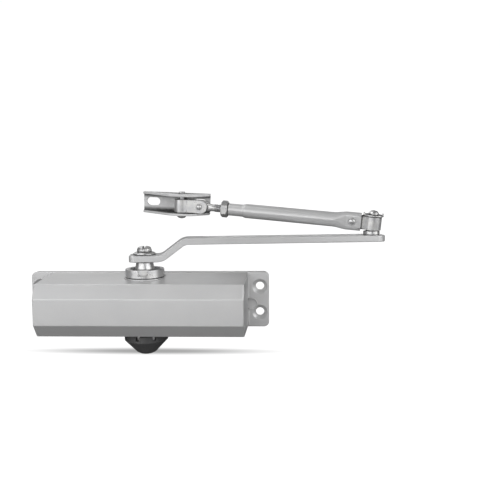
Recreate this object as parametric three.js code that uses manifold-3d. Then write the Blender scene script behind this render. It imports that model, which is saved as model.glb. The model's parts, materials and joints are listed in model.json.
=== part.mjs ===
// Surface-mounted door closer: a cast body with a rack-and-pinion damper inside, a cranked main arm,
// and an adjustable forearm that ends in a shoe bracket. Millimetres, +X right, +Y into the door, +Z up.
// The origin is on the back face, level with the spindle and midway between the mounting holes.
import * as THREE from 'three';
import { mergeVertices } from 'three/addons/utils/BufferGeometryUtils.js';
import Module from 'manifold-3d';

const wasm = await Module();
wasm.setup();

const GAP = 0.3;
const ROUND = 28;
const SMALL_ROUND = 14;
const FINE_ROUND = 32;
const OVERSHOOT = 3;
const PAST = 1;

// Body casting
const FLANGE = { halfLength: 87.2, halfHeight: 20.2, thick: 6.1, corner: 3.75 };
const BODY = { halfLength: 72.2, frontHalfLength: 70.6, depth: 46.6 };
const SECTION = [[0, -20.2, 0], [-40.4, -19.1, 1.4], [-46.6, -10.3, 1.6], [-46.1, 7.5, 3], [-42, 17.2, 1.6],
  [0, 20.2, 0]];
const HOLE = { x: 80.6, z: 9.5, radius: 3.1, sinkRadius: 5.5 };
const CAST_MARK = { x: 74.6, z: -3.1, radius: 3.7, depth: 0.4 };

// Cylinder, running along X
const BORE = { y: -22, z: -0.7, radius: 13, plugRadius: 14.6, plugStart: -58, end: 54 };
const PLUG = { left: -70.3, right: -58.3, edge: 0.8, groove: -62, grooveHalf: 1.1, grooveRadius: 12.8,
  socketCorner: 5.8, socketDepth: 6, spigotRoom: 10 };
const PLUG_SEAL = { radius: 13.6, section: 0.7 };

// Spindle axis, running along Z, and its bearings, which mirror about the cylinder's axis
const SPINDLE_Y = -20;
const BOSS = { radius: 14.4, top: 18.9, root: 15 };
const RING = { radius: 13.5, inner: 10.7, base: 2.2, height: 5.8, edge: 0.4, threadRadius: 11.5,
  threadLength: 1.9 };
const NOTCH = { turn: THREE.MathUtils.degToRad(5), halfWidth: 3.3, floor: 1.8, back: 11.9 };
const SEAT = { radius: 9.3, floor: 11.3, top: 15 };
const BEARING_HEIGHT = 3.3;
const LIP_SEAL = { height: 1.5, back: 1.6, lip: 0.4, lipHeight: 1 };
const JOURNAL = 6;
const NECK = { radius: 6.6, topRadius: 5.9, bottom: 21.6, shoulder: 25, top: 29.7, edge: 0.4, play: 0.5 };
const SQUARE = { bottomCorner: 6.2, topCorner: 6, top: 34.3, lowerLength: 7, turned: 5.8, turnedTop: 5.6,
  edge: 0.5, holeHalf: 4.7 };

// Rack and pinion
const GEAR = { teeth: 9, module: 1.5, pressure: THREE.MathUtils.degToRad(25), addendum: 1.2, dedendum: 1.6 };
const PITCH_RADIUS = GEAR.teeth * GEAR.module / 2;
const BACKLASH = 0.5;
const PINION = { half: 10, room: 8.7 };
const RACK = { half: 9, tipRelief: 0.1, backRoom: 0.5 };
const PISTON = { radius: 12.7, edge: 0.6, left: -26, right: 53.6, windowLeft: -10, windowRight: 30.5,
  pocket: 9.6, grooveDepth: 1.4, grooveHalf: 1.2 };
const PISTON_SEAL = { inner: 11.6, outer: 12.8, half: 0.9 };
const CHECK = { seat: 4.8, depth: 12, passage: 1.8, ball: 2.6, plugHole: 1.5, plugLength: 4, plugInset: 1 };
const SPRING = { radius: 7.9, wire: 1.4, turns: 6, seat: -14, plugSeat: -58.6 };

// Speed valves, in the right end face
const VALVE = { radius: 2.5, length: 14, inset: 0.3, edge: 0.4, tip: 0.9, cone: 1.9, coneLength: 4,
  slotHalf: 0.5, slotDepth: 1.2 };
const DRILLING = { depth: 18, radius: 1.1, farPort: -50, portLength: 9 };
const VALVE_SITES = [['closing_valve', -37.5, 11.3, 50], ['latching_valve', -38, -12, 44]];

// Bottom cap
const CAP = { radius: 15.3, inner: 13.8, top: -20.8, skirt: -25.4, bottom: -35.5, cone: 6.8, nose: 4.6,
  wall: 1.9, innerCone: 12.6, innerNose: 4.4, slots: 8, slotWidth: 2.6, slotTurn: 0.19 };

// Main arm, a flat strip cranked upwards, drawn along its own +X from the spindle
const ARM_TURN = THREE.MathUtils.degToRad(7.75);
const ARM = { length: 163.2, tail: 10.4, nose: 9, halfWidth: 9.5, thick: 4.6, low: 32.3, high: 44.1,
  tailCorner: 5, noseCorner: 7 };
const CRANK = { start: 12.2, end: 27.9, bend: 3 };
const ARM_TOP = ARM.high + ARM.thick / 2;
const WASHER = { radius: 7.8, thick: 1.6, hole: 3.4, rim: 0.7, cone: 0.9 };
const ARM_SCREW = { shank: 3, length: 12, head: 5.15, headHeight: 3.9, recess: 2, recessWidth: 1.4,
  slot: 11.4, cross: 6.4, turn: THREE.MathUtils.degToRad(86), threadDepth: 14 };

// Elbow: a loose spacer on the arm, and a flared pin that carries the knuckle, a dished washer and a head
const ELBOW = { armHole: 4.2, flareHole: 6.4, flareDepth: 2.2, pin: 4.4, shank: 3.4, neck: 2.6, spacer: 5.9,
  spacerPlay: 0.7, washerRadius: 7.2, head: 3.8, headHeight: 2.9, tabHalf: 1.5, tabThick: 1.1,
  tabHeight: 1.2 };
const ELBOW_HEIGHTS = { foot: -3.7, footTop: -3.4, flareTop: -2.4, shoulder: 0.95, spacerTop: 2.8,
  pinTop: 13.4, washer: 13.7, washerTop: 14.7, head: 15 };

// Forearm, drawn along its own -X from the elbow; it leans with the play of its rivets
const FOREARM_TURN = THREE.MathUtils.degToRad(-8);
const FOREARM_SLOPE = THREE.MathUtils.degToRad(5.3);
const FOREARM_ROLL = THREE.MathUtils.degToRad(5);
const AXIS_HEIGHT = 8.55;
const KNUCKLE = { radius: 6.2, bore: 4.7, halfHeight: 4.75, legThick: 2.9, legEnd: -20.5, waist: -7.6 };
const TUBE = { radius: 5.35, neck: 4.6, bore: 4.05, neckBore: 3.35, start: -8.3, end: -107, neckLength: 11,
  swage: 2.2, edge: 0.3 };
const FLAT = { from: -29, to: -19, halfThick: 3.1, straight: 3.55, innerHalfThick: 1.75, innerStraight: 3.3 };
const ELBOW_RIVET = { x: -14.9, radius: 1.9, head: 2.5, headHeight: 1.3 };
const ROD = { radius: 3, start: -122, end: -72, edge: 0.8, eye: 4.5, eyeThick: 3, webInset: 0.3 };
const NUT = { corner: 6.5, thick: 5, right: -107.4, chamfer: 0.8 };

// Shoe, hung on the rod's eye
const SHOE_RIVET_X = -129.5;
const SHOE_TILT = THREE.MathUtils.degToRad(-2);
const SHOE_PIN_X = -14.4;
const SHOE_KNUCKLE = { radius: 5.6, bore: 2.5, halfHeight: 4.95, legIn: 1.8, legOut: 3.4, end: 20.5,
  barrelRoom: 0.9 };
const SHOE_RIVET = { radius: 1.6, head: 2.1, headHeight: 1.1 };
const BRACKET = { left: -31, right: 21, back: 10, front: -8, leftFront: 5.2, rightFront: 3.4, frontHalf: 8,
  top: 9.2, bottom: -7.05, sheet: 1.8, outerBend: 2.2, innerBend: 0.7 };
const SLOT = { xs: [-23.5, 13], z: 1.5, halfLength: 5.1, radius: 3.1 };
const SHOE_PIN = { radius: 2, head: 3.8, headHeight: 2.5, tail: 2.4, tailHeight: 1.2 };

const X = new THREE.Vector3(1, 0, 0);
const Y = new THREE.Vector3(0, 1, 0);
const Z = new THREE.Vector3(0, 0, 1);
const ALONG_X = new THREE.Matrix4().makeBasis(Y, Z, X);
const ALONG_Y = new THREE.Matrix4().makeBasis(X, Z, Y.clone().negate());

// Makes a closed solid from a three.js geometry, with its faces turned outwards.
function solid(geometry) {
  const bare = geometry.clone();
  for (const name of Object.keys(bare.attributes)) {
    if (name !== 'position') bare.deleteAttribute(name);
  }
  const merged = mergeVertices(bare, 1e-4);
  const points = new Float32Array(merged.attributes.position.array);
  const corners = merged.index.array;
  const corner = (i) => new THREE.Vector3().fromArray(points, 3 * corners[i]);
  const faces = [];
  let volume = 0;
  for (let i = 0; i < corners.length; i += 3) {
    const [a, b, c] = corners.slice(i, i + 3);
    if (a === b || b === c || c === a) continue;
    faces.push([a, b, c]);
    volume += corner(i).dot(corner(i + 1).cross(corner(i + 2)));
  }
  const outward = volume > 0 ? faces : faces.map(([a, b, c]) => [a, c, b]);
  return new wasm.Manifold(new wasm.Mesh({
    numProp: 3, vertProperties: points, triVerts: new Uint32Array(outward.flat()),
  }));
}

function join(first, ...others) {
  return others.reduce((sum, other) => sum.add(other), first);
}

function cut(first, ...others) {
  return others.reduce((rest, other) => rest.subtract(other), first);
}

// A straight round bar between two stations on an axis, with its centre line at the other two coordinates.
function bar(axis, radius, from, to, at = [0, 0], segments = ROUND, endRadius = radius) {
  const geometry = new THREE.CylinderGeometry(endRadius, radius, to - from, segments);
  geometry.translate(0, (from + to) / 2, 0);
  if (axis === 'x') geometry.rotateZ(-Math.PI / 2).translate(0, at[0], at[1]);
  if (axis === 'y') geometry.translate(at[0], 0, at[1]);
  if (axis === 'z') geometry.rotateX(Math.PI / 2).translate(at[0], at[1], 0);
  return solid(geometry);
}

function box(x0, x1, y0, y1, z0, z1) {
  const geometry = new THREE.BoxGeometry(x1 - x0, y1 - y0, z1 - z0);
  geometry.translate((x0 + x1) / 2, (y0 + y1) / 2, (z0 + z1) / 2);
  return solid(geometry);
}

// Turns a profile of [radius, height] points about Z, or about X when axis says so.
function turned(profile, axis = 'z', at = [0, 0], segments = ROUND) {
  const points = profile.map(([radius, height]) => new THREE.Vector2(radius, height));
  const geometry = new THREE.LatheGeometry(points, segments);
  if (axis === 'z') geometry.rotateX(Math.PI / 2).translate(at[0], at[1], 0);
  if (axis === 'x') geometry.rotateZ(-Math.PI / 2).translate(0, at[0], at[1]);
  if (axis === 'y') geometry.translate(at[0], 0, at[1]);
  return solid(geometry);
}

// A closed outline through [x, y, cut] corners; each corner is rounded off from that distance away.
function rounded(corners) {
  const shape = new THREE.Shape();
  const count = corners.length;
  corners.forEach(([x, y, away = 0], i) => {
    const here = new THREE.Vector2(x, y);
    const towards = (other) => new THREE.Vector2(other[0], other[1]).sub(here).setLength(away).add(here);
    const start = towards(corners[(i + count - 1) % count]);
    const end = towards(corners[(i + 1) % count]);
    if (i === 0) shape.moveTo(start.x, start.y);
    else shape.lineTo(start.x, start.y);
    if (away > 0) shape.quadraticCurveTo(x, y, end.x, end.y);
  });
  shape.closePath();
  return shape;
}

function rectangle(x0, x1, y0, y1, away) {
  return rounded([[x0, y0, away], [x1, y0, away], [x1, y1, away], [x0, y1, away]]);
}

function extruded(shape, depth, curveSegments = 5) {
  return new THREE.ExtrudeGeometry(shape, { depth, bevelEnabled: false, curveSegments });
}

// Plates: drawn in (Y, Z) and run along X, drawn in (X, Z) and run towards -Y, drawn in (X, Y) and run up.
function alongX(shape, from, to) {
  return solid(extruded(shape, to - from).applyMatrix4(ALONG_X).translate(from, 0, 0));
}

function alongY(shape, from, to) {
  return solid(extruded(shape, to - from).applyMatrix4(ALONG_Y).translate(0, to, 0));
}

function upwards(shape, from, to) {
  return solid(extruded(shape, to - from).translate(0, 0, from));
}

function dome(radius, height, base, direction = 1) {
  const profile = [[0, base]];
  const steps = 3;
  for (let i = 0; i <= steps; i += 1) {
    const angle = i / steps * Math.PI / 2;
    profile.push([radius * Math.cos(angle), base + direction * height * Math.sin(angle)]);
  }
  profile[profile.length - 1][0] = 0;
  return profile;
}

const door_closer = new THREE.Group();

function place(parent, name, manifold, material, position = [0, 0, 0]) {
  const { vertProperties, triVerts } = manifold.getMesh();
  const indexed = new THREE.BufferGeometry();
  indexed.setAttribute('position', new THREE.BufferAttribute(new Float32Array(vertProperties), 3));
  indexed.setIndex(new THREE.BufferAttribute(new Uint32Array(triVerts), 1));
  const geometry = indexed.toNonIndexed();
  geometry.computeVertexNormals();
  const mesh = new THREE.Mesh(geometry, material);
  mesh.name = name;
  mesh.position.set(...position);
  parent.add(mesh);
}

function frame(parent, position, order, rotation) {
  const group = new THREE.Group();
  group.position.set(...position);
  group.rotation.set(...rotation, order);
  parent.add(group);
  return group;
}

function material(color, roughness, metalness) {
  return new THREE.MeshStandardMaterial({ color, roughness, metalness });
}

const silverPaint = () => material(0xb9babb, 0.42, 0.35);
const platedSteel = () => material(0xc9c9c7, 0.22, 0.95);
const bracketSteel = () => material(0xb0b1b0, 0.35, 0.8);
const darkPlastic = () => material(0x4c4d4e, 0.55, 0.0);
const innerSteel = () => material(0x8d8e90, 0.35, 0.9);
const bronze = () => material(0xa07a45, 0.4, 0.85);
const rubber = () => material(0x1d1d1d, 0.8, 0.0);

// Casting: the faceted front block, the flange plate behind it and the bosses around the spindle.
function housing() {
  const block = alongX(rounded(SECTION), -BODY.halfLength, BODY.halfLength);
  const front = -BODY.depth - PAST;
  const plan = rounded([[-BODY.halfLength, 0], [BODY.halfLength, 0], [BODY.frontHalfLength, front],
    [-BODY.frontHalfLength, front]]);
  const drafted = block.intersect(upwards(plan, -FLANGE.halfHeight - PAST, FLANGE.halfHeight + PAST));
  const { halfLength, halfHeight, thick, corner } = FLANGE;
  const plate = alongY(rectangle(-halfLength, halfLength, -halfHeight, halfHeight, corner), -thick, 0);
  const mirrored = 2 * BORE.z;
  const axis = [0, SPINDLE_Y];
  const solidBody = join(drafted, plate,
    bar('z', BOSS.radius, BOSS.root, BOSS.top, axis),
    bar('z', BOSS.radius, mirrored - BOSS.top, mirrored - BOSS.root, axis));
  const threadHole = RING.threadRadius + GAP;
  const cuts = [
    bar('z', BOSS.radius + GAP, BOSS.top, BOSS.top + OVERSHOOT, axis),
    bar('x', BORE.radius, -BODY.halfLength - OVERSHOOT, BORE.end, [BORE.y, BORE.z]),
    bar('x', BORE.plugRadius, -BODY.halfLength - OVERSHOOT, BORE.plugStart, [BORE.y, BORE.z]),
    bar('z', PINION.room, mirrored - SEAT.top - PAST, SEAT.top + PAST, axis),
    bar('z', SEAT.radius, SEAT.floor, SEAT.top + PAST, axis),
    bar('z', SEAT.radius, mirrored - SEAT.top - PAST, mirrored - SEAT.floor, axis),
    bar('z', threadHole, SEAT.top, BOSS.top + OVERSHOOT, axis),
    bar('z', threadHole, mirrored - BOSS.top - OVERSHOOT, mirrored - SEAT.top, axis),
    bar('y', CAST_MARK.radius, -thick - OVERSHOOT, -thick + CAST_MARK.depth, [CAST_MARK.x, CAST_MARK.z]),
  ];
  for (const x of [-HOLE.x, HOLE.x]) {
    for (const z of [-HOLE.z, HOLE.z]) {
      const sinkDepth = HOLE.sinkRadius - HOLE.radius;
      cuts.push(bar('y', HOLE.radius, -thick - PAST, PAST, [x, z], FINE_ROUND));
      const sinkEnd = -thick + sinkDepth;
      cuts.push(bar('y', HOLE.sinkRadius + PAST, -thick - PAST, sinkEnd, [x, z], FINE_ROUND, HOLE.radius));
    }
  }
  return cut(solidBody, ...cuts, ...valveCuts());
}

// Each valve bore leads into a long drilling that joins both ends of the cylinder through short ports.
function valveCuts() {
  const cuts = [];
  const faceX = BODY.halfLength;
  const boreEnd = faceX - DRILLING.depth;
  for (const [, y, z, nearPort] of VALVE_SITES) {
    cuts.push(bar('x', VALVE.radius + GAP, boreEnd, faceX + OVERSHOOT, [y, z], SMALL_ROUND));
    cuts.push(bar('x', DRILLING.radius, DRILLING.farPort, boreEnd + PAST, [y, z], SMALL_ROUND));
    for (const x of [nearPort, DRILLING.farPort]) {
      const port = new THREE.CylinderGeometry(DRILLING.radius, DRILLING.radius, DRILLING.portLength,
        SMALL_ROUND);
      const inwards = new THREE.Vector3(0, BORE.y - y, BORE.z - z).normalize();
      port.translate(0, DRILLING.portLength / 2, 0);
      port.applyQuaternion(new THREE.Quaternion().setFromUnitVectors(Y, inwards));
      cuts.push(solid(port.translate(x, y, z)));
    }
  }
  return cuts;
}

// Threaded end plug with a hexagon socket outside, a seat for the spring inside and a groove for its seal.
function endPlug() {
  const radius = BORE.plugRadius - GAP;
  const { left, right, edge, groove, grooveHalf, grooveRadius } = PLUG;
  const at = [BORE.y, BORE.z];
  const body = turned([[0, left], [radius - edge, left], [radius, left + edge], [radius, groove - grooveHalf],
    [grooveRadius, groove - grooveHalf], [grooveRadius, groove + grooveHalf], [radius, groove + grooveHalf],
    [radius, right], [0, right]], 'x', at);
  const socket = bar('x', PLUG.socketCorner, left - PAST, left + PLUG.socketDepth, at, 6);
  const spigotRoom = bar('x', PLUG.spigotRoom, SPRING.plugSeat - GAP, right + PAST, at);
  return cut(body, socket, spigotRoom);
}

function oRing(radius, section) {
  const geometry = new THREE.TorusGeometry(radius, section, 6, ROUND);
  return solid(geometry.rotateY(Math.PI / 2));
}

// Notched ring nut: a threaded foot, a floor with a hole for the spindle, an open rim and two blind notches.
function ringNut() {
  const { radius, inner, base, height, edge, threadRadius, threadLength } = RING;
  const hole = NECK.radius + NECK.play;
  const body = turned([[hole, -threadLength], [threadRadius, -threadLength], [threadRadius, 0], [radius, 0],
    [radius, height - edge], [radius - edge, height], [inner + edge, height], [inner, height - edge],
    [inner, base], [hole, base], [hole, -threadLength]]);
  const notches = [0, Math.PI].map((turn) => {
    const notch = new THREE.BoxGeometry(2 * NOTCH.halfWidth, 2 * OVERSHOOT, height);
    notch.translate(0, -NOTCH.back - OVERSHOOT, NOTCH.floor + height / 2);
    return solid(notch.rotateZ(NOTCH.turn + turn));
  });
  return cut(body, ...notches);
}

function bearing() {
  const outer = SEAT.radius - GAP;
  const inner = JOURNAL + GAP;
  const top = BEARING_HEIGHT;
  return turned([[inner, 0], [outer, 0], [outer, top], [inner, top], [inner, 0]]);
}

function lipSeal() {
  const { height, back, lip, lipHeight } = LIP_SEAL;
  const outer = RING.threadRadius - GAP / 3;
  const inner = JOURNAL + GAP;
  return turned([[inner, 0], [outer, 0], [outer, height], [inner + back, height], [inner + lip, lipHeight],
    [inner, 0]]);
}

// Snap-on cap over the lower ring nut, with slots that let its skirt spring.
function bottomCap() {
  const { radius, inner, top, skirt, bottom, cone, nose, wall, innerCone, innerNose } = CAP;
  const floor = skirt - 1.3;
  const shell = turned([[inner, top], [radius - 0.3, top], [radius, top - 0.3], [radius, skirt],
    [radius - 0.6, skirt - 1.2], [cone, bottom + 1.3], [nose + 1, bottom + 0.3], [nose, bottom], [0, bottom],
    [0, bottom + wall], [innerNose, bottom + wall], [innerCone, floor], [inner, floor], [inner, top]]);
  const slots = [];
  for (let i = 0; i < CAP.slots; i += 1) {
    const slot = new THREE.BoxGeometry(3, CAP.slotWidth, top - skirt + 1);
    slot.translate(radius - 0.5, 0, (top + skirt + 1) / 2);
    slot.rotateZ((i + 0.5) / CAP.slots * 2 * Math.PI + CAP.slotTurn);
    slots.push(solid(slot));
  }
  return cut(shell, ...slots);
}

// Involute pinion outline; toothTurn is the direction of one tooth's middle.
function pinionShape(toothTurn) {
  const { teeth, module, pressure, addendum, dedendum } = GEAR;
  const involute = (angle) => Math.tan(angle) - angle;
  const baseRadius = PITCH_RADIUS * Math.cos(pressure);
  const halfAtPitch = (Math.PI * module / 2 - BACKLASH) / 2 / PITCH_RADIUS;
  const halfAt = (radius) => {
    const angle = Math.acos(Math.min(1, baseRadius / radius));
    return halfAtPitch + involute(pressure) - involute(angle);
  };
  const rootRadius = PITCH_RADIUS - dedendum;
  const tipRadius = PITCH_RADIUS + addendum;
  const flank = [rootRadius, baseRadius + 0.1, PITCH_RADIUS, PITCH_RADIUS + addendum / 2, tipRadius];
  const points = [];
  for (let tooth = 0; tooth < teeth; tooth += 1) {
    const middle = toothTurn + tooth / teeth * 2 * Math.PI;
    const side = (sign) => (radius) => {
      const angle = middle + sign * halfAt(radius);
      return new THREE.Vector2(radius * Math.cos(angle), radius * Math.sin(angle));
    };
    points.push(...flank.map(side(-1)), ...flank.slice().reverse().map(side(1)));
  }
  return new THREE.Shape(points);
}

// A square end whose corners are turned round; sign -1 mirrors it to the lower end.
function squareEnd(bottom, top) {
  const square = bar('z', SQUARE.bottomCorner, bottom - 1, top, [0, 0], 4, SQUARE.topCorner);
  const envelope = turned([[0, bottom - 1], [SQUARE.turned, bottom - 1], [SQUARE.turned, bottom],
    [SQUARE.turnedTop, top - SQUARE.edge], [SQUARE.turnedTop - SQUARE.edge, top], [0, top]]);
  return square.intersect(envelope);
}

function spindle() {
  const middle = BORE.z;
  const lowerNeckTop = 2 * middle - NECK.bottom;
  const core = PITCH_RADIUS - GEAR.dedendum - 0.1;
  const coreHalf = PINION.half - 0.2;
  const shaft = turned([[0, lowerNeckTop - 1], [JOURNAL, lowerNeckTop - 1], [JOURNAL, middle - coreHalf],
    [core, middle - coreHalf], [core, middle + coreHalf], [JOURNAL, middle + coreHalf],
    [JOURNAL, NECK.bottom], [NECK.radius, NECK.bottom], [NECK.radius, NECK.shoulder],
    [NECK.topRadius, NECK.top - NECK.edge],
    [NECK.topRadius - NECK.edge, NECK.top], [0, NECK.top]]);
  const pinion = upwards(pinionShape(-Math.PI / 2 - ARM_TURN), middle - PINION.half, middle + PINION.half);
  const lowerEnd = squareEnd(-lowerNeckTop, -lowerNeckTop + SQUARE.lowerLength).mirror([0, 0, 1]);
  const threadBottom = SQUARE.top - ARM_SCREW.threadDepth;
  const thread = bar('z', ARM_SCREW.shank + GAP, threadBottom, SQUARE.top + PAST, [0, 0], SMALL_ROUND);
  return cut(join(shaft, pinion, squareEnd(NECK.top, SQUARE.top), lowerEnd), thread);
}

// Piston with a window around the pinion, the rack on the window's front side and a pocket for the spring.
function piston() {
  const { radius, edge, left, right, windowLeft, windowRight, pocket, grooveDepth, grooveHalf } = PISTON;
  const at = [BORE.y, BORE.z];
  const pitchLine = SPINDLE_Y - PITCH_RADIUS;
  const rackRoot = pitchLine - GEAR.dedendum;
  const rackTip = pitchLine + GEAR.addendum - RACK.tipRelief;
  const windowBack = SPINDLE_Y + PITCH_RADIUS + GEAR.addendum + RACK.backRoom;
  const body = turned([[0, left], [radius - edge, left], [radius, left + edge], [radius, right - edge],
    [radius - edge, right], [0, right]], 'x', at);
  const grooveX = (windowRight + right) / 2;
  const grooveFloor = radius - grooveDepth;
  const groove = turned([[grooveFloor, grooveX - grooveHalf], [radius + PAST, grooveX - grooveHalf],
    [radius + PAST, grooveX + grooveHalf], [grooveFloor, grooveX + grooveHalf],
    [grooveFloor, grooveX - grooveHalf]], 'x', at);
  const blank = cut(body,
    box(windowLeft, windowRight, rackRoot, windowBack, -radius - OVERSHOOT, radius + OVERSHOOT),
    bar('x', pocket, left - PAST, SPRING.seat, at),
    bar('x', CHECK.seat, right - CHECK.depth, right + PAST, at, SMALL_ROUND),
    bar('x', CHECK.passage, windowRight - PAST, right, at, SMALL_ROUND),
    groove);
  const pitch = Math.PI * GEAR.module;
  const halfAt = (height) => (pitch - BACKLASH) / 4 - height * Math.tan(GEAR.pressure);
  const teeth = [];
  for (let x = -1.5 * pitch; x < windowRight - pitch; x += pitch) {
    const root = halfAt(-GEAR.dedendum);
    const tip = halfAt(GEAR.addendum - RACK.tipRelief);
    const outline = rounded([[x - root, rackRoot - 0.5], [x + root, rackRoot - 0.5], [x + root, rackRoot],
      [x + tip, rackTip], [x - tip, rackTip], [x - root, rackRoot]]);
    teeth.push(upwards(outline, BORE.z - RACK.half, BORE.z + RACK.half));
  }
  return join(blank, ...teeth);
}

// Drilled plug that holds the ball of the check valve in the piston's closed end.
function checkPlug() {
  const radius = CHECK.seat - GAP;
  const right = PISTON.right - CHECK.plugInset;
  const left = right - CHECK.plugLength;
  const hole = CHECK.plugHole;
  return turned([[hole, left], [radius, left], [radius, right], [hole, right], [hole, left]], 'x', [0, 0],
    SMALL_ROUND);
}

class Coil extends THREE.Curve {
  constructor(radius, turns, from, to) {
    super();
    Object.assign(this, { radius, turns, from, to });
  }

  getPoint(t, target = new THREE.Vector3()) {
    const angle = t * this.turns * 2 * Math.PI;
    const x = this.from + (this.to - this.from) * t;
    return target.set(x, this.radius * Math.cos(angle), this.radius * Math.sin(angle));
  }
}

function closingSpring() {
  const { radius, wire, turns, seat, plugSeat } = SPRING;
  const path = new Coil(radius, turns, plugSeat + wire + GAP, seat - wire - GAP);
  const section = new THREE.Shape().absarc(0, 0, wire, 0, 2 * Math.PI);
  const options = { steps: turns * 12, extrudePath: path, curveSegments: 3 };
  return solid(new THREE.ExtrudeGeometry(section, options));
}

// Needle valve screw: a slotted head, a thread and a tapered tip.
function valveScrew() {
  const { radius, length, edge, tip, cone, coneLength, slotHalf, slotDepth } = VALVE;
  const body = turned([[0, -length], [tip, -length + edge], [cone, -length + coneLength],
    [radius, -length + coneLength + edge], [radius, -edge], [radius - edge, 0], [0, 0]], 'x', [0, 0],
    SMALL_ROUND);
  return cut(body, box(-slotDepth, PAST, -slotHalf, slotHalf, -radius - PAST, radius + PAST));
}

// Main arm: the side view of the cranked strip, trimmed to the plan view with rounded ends.
function mainArm() {
  const { length, tail, nose, halfWidth, thick, low, high, tailCorner, noseCorner } = ARM;
  const rise = Math.atan2(high - low, CRANK.end - CRANK.start);
  const shift = thick / 2 * Math.tan(rise / 2);
  const edge = (side) => {
    const lowLevel = low + side * thick / 2;
    const highLevel = high + side * thick / 2;
    return [[-tail - PAST, lowLevel], [CRANK.start - side * shift, lowLevel, CRANK.bend],
      [CRANK.end - side * shift, highLevel, CRANK.bend], [length + nose + PAST, highLevel]];
  };
  const strip = alongY(rounded([...edge(-1), ...edge(1).reverse()]), -halfWidth, halfWidth);
  const plan = rounded([[-tail, -halfWidth, tailCorner], [length + nose, -halfWidth, noseCorner],
    [length + nose, halfWidth, noseCorner], [-tail, halfWidth, tailCorner]]);
  const squareHole = bar('z', SQUARE.holeHalf * Math.SQRT2, low - thick, low + thick, [0, 0], 4);
  const under = high - thick / 2;
  const pinHole = bar('z', ELBOW.armHole, under - PAST, ARM_TOP + PAST, [length, 0], FINE_ROUND);
  const flareTop = under + ELBOW.flareDepth;
  const flare = bar('z', ELBOW.flareHole, under - 0.4, flareTop, [length, 0], FINE_ROUND, ELBOW.armHole);
  return cut(strip.intersect(upwards(plan, low - thick, high + thick)), squareHole, pinHole, flare);
}

function armWasher(base) {
  const { radius, thick, hole, rim, cone } = WASHER;
  return turned([[hole, base], [radius, base], [radius, base + rim], [radius - cone, base + thick],
    [hole, base + thick], [hole, base]]);
}

// Pan-head screw with a slot right across its head and a short cross recess.
function armScrew(base) {
  const { shank, length, head, headHeight, recess, recessWidth, slot, cross, turn } = ARM_SCREW;
  const body = turned([[0, base - length], [shank - 0.5, base - length], [shank, base - length + 0.5],
    [shank, base], [head - 0.2, base], [head, base + 0.5], [head, base + 1.8], [head - 0.5, base + 2.8],
    [head - 1.6, base + 3.5], [head - 3.2, base + headHeight], [0, base + headHeight]], 'z', [0, 0],
    FINE_ROUND);
  const groove = (run, angle) => {
    const geometry = new THREE.BoxGeometry(run, recessWidth, 2 * recess);
    return solid(geometry.translate(0, 0, base + headHeight).rotateZ(angle));
  };
  return cut(body, groove(slot, turn), groove(cross, turn + Math.PI / 2));
}

function elbowSpacer() {
  const { spacer, pin } = ELBOW;
  const inner = pin + ELBOW.spacerPlay;
  const top = ELBOW_HEIGHTS.spacerTop;
  return turned([[inner, GAP], [spacer - 0.2, GAP], [spacer, GAP + 0.2], [spacer, top - 0.3],
    [spacer - 0.3, top],
    [inner, top], [inner, GAP]]);
}

function elbowPin() {
  const { foot, footTop, flareTop, shoulder, pinTop, head } = ELBOW_HEIGHTS;
  const { armHole, shank, pin, neck } = ELBOW;
  const shaft = turned([[0, foot], [armHole, foot], [armHole, footTop], [shank, flareTop], [shank, shoulder],
    [pin, shoulder], [pin, pinTop], [neck, pinTop], [neck, head + GAP], [0, head + GAP]]);
  return join(shaft, turned(dome(ELBOW.head, ELBOW.headHeight, head)));
}

function elbowWasher() {
  const { washer, washerTop } = ELBOW_HEIGHTS;
  const hole = ELBOW.neck + GAP;
  const radius = ELBOW.washerRadius;
  const disc = turned([[hole, washer], [radius, washer], [radius, washerTop], [hole, washerTop],
    [hole, washer]]);
  const { tabHalf, tabThick, tabHeight } = ELBOW;
  const tab = (from) => box(from, from + tabThick, -tabHalf, tabHalf, washer + GAP, washerTop + tabHeight);
  return join(disc, tab(-radius), tab(radius - tabThick));
}

// Strap folded around the elbow pin; its two legs lie together and enter the flattened tube.
function elbowKnuckle() {
  const { radius, bore, halfHeight, legThick, legEnd, waist } = KNUCKLE;
  const low = AXIS_HEIGHT - halfHeight;
  const high = AXIS_HEIGHT + halfHeight;
  const half = legThick / 2;
  const wide = radius * 0.8;
  const neck = rounded([[legEnd, -half, 1], [waist, -half, 1.2], [waist + 4, -wide, 0.5], [0, -wide],
    [0, wide], [waist + 4, wide, 0.5], [waist, half, 1.2], [legEnd, half, 1]]);
  const body = join(bar('z', radius, low, high), upwards(neck, low, high));
  const hole = bar('z', bore, low - PAST, high + PAST);
  const rivetHole = bar('y', ELBOW_RIVET.radius + GAP, -radius, radius, [ELBOW_RIVET.x, AXIS_HEIGHT],
    SMALL_ROUND);
  return cut(body, hole, rivetHole);
}

// Round tube pressed flat over its last stretch. Each station is [x, how flat from 0 to 1, round radius].
function pressedBar(stations, halfThick, straight) {
  const geometry = new THREE.CylinderGeometry(1, 1, 1, 24, stations.length - 1);
  const position = geometry.attributes.position;
  for (let i = 0; i < position.count; i += 1) {
    const row = Math.round((position.getY(i) + 0.5) * (stations.length - 1));
    const [x, flat, radius] = stations[row];
    const reach = THREE.MathUtils.lerp(radius, halfThick, flat);
    const across = position.getX(i);
    const up = position.getZ(i);
    const lift = Math.abs(up) < 1e-6 ? 0 : Math.sign(up) * flat * straight;
    position.setXYZ(i, x, reach * across, reach * up + lift);
  }
  return solid(geometry);
}

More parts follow.
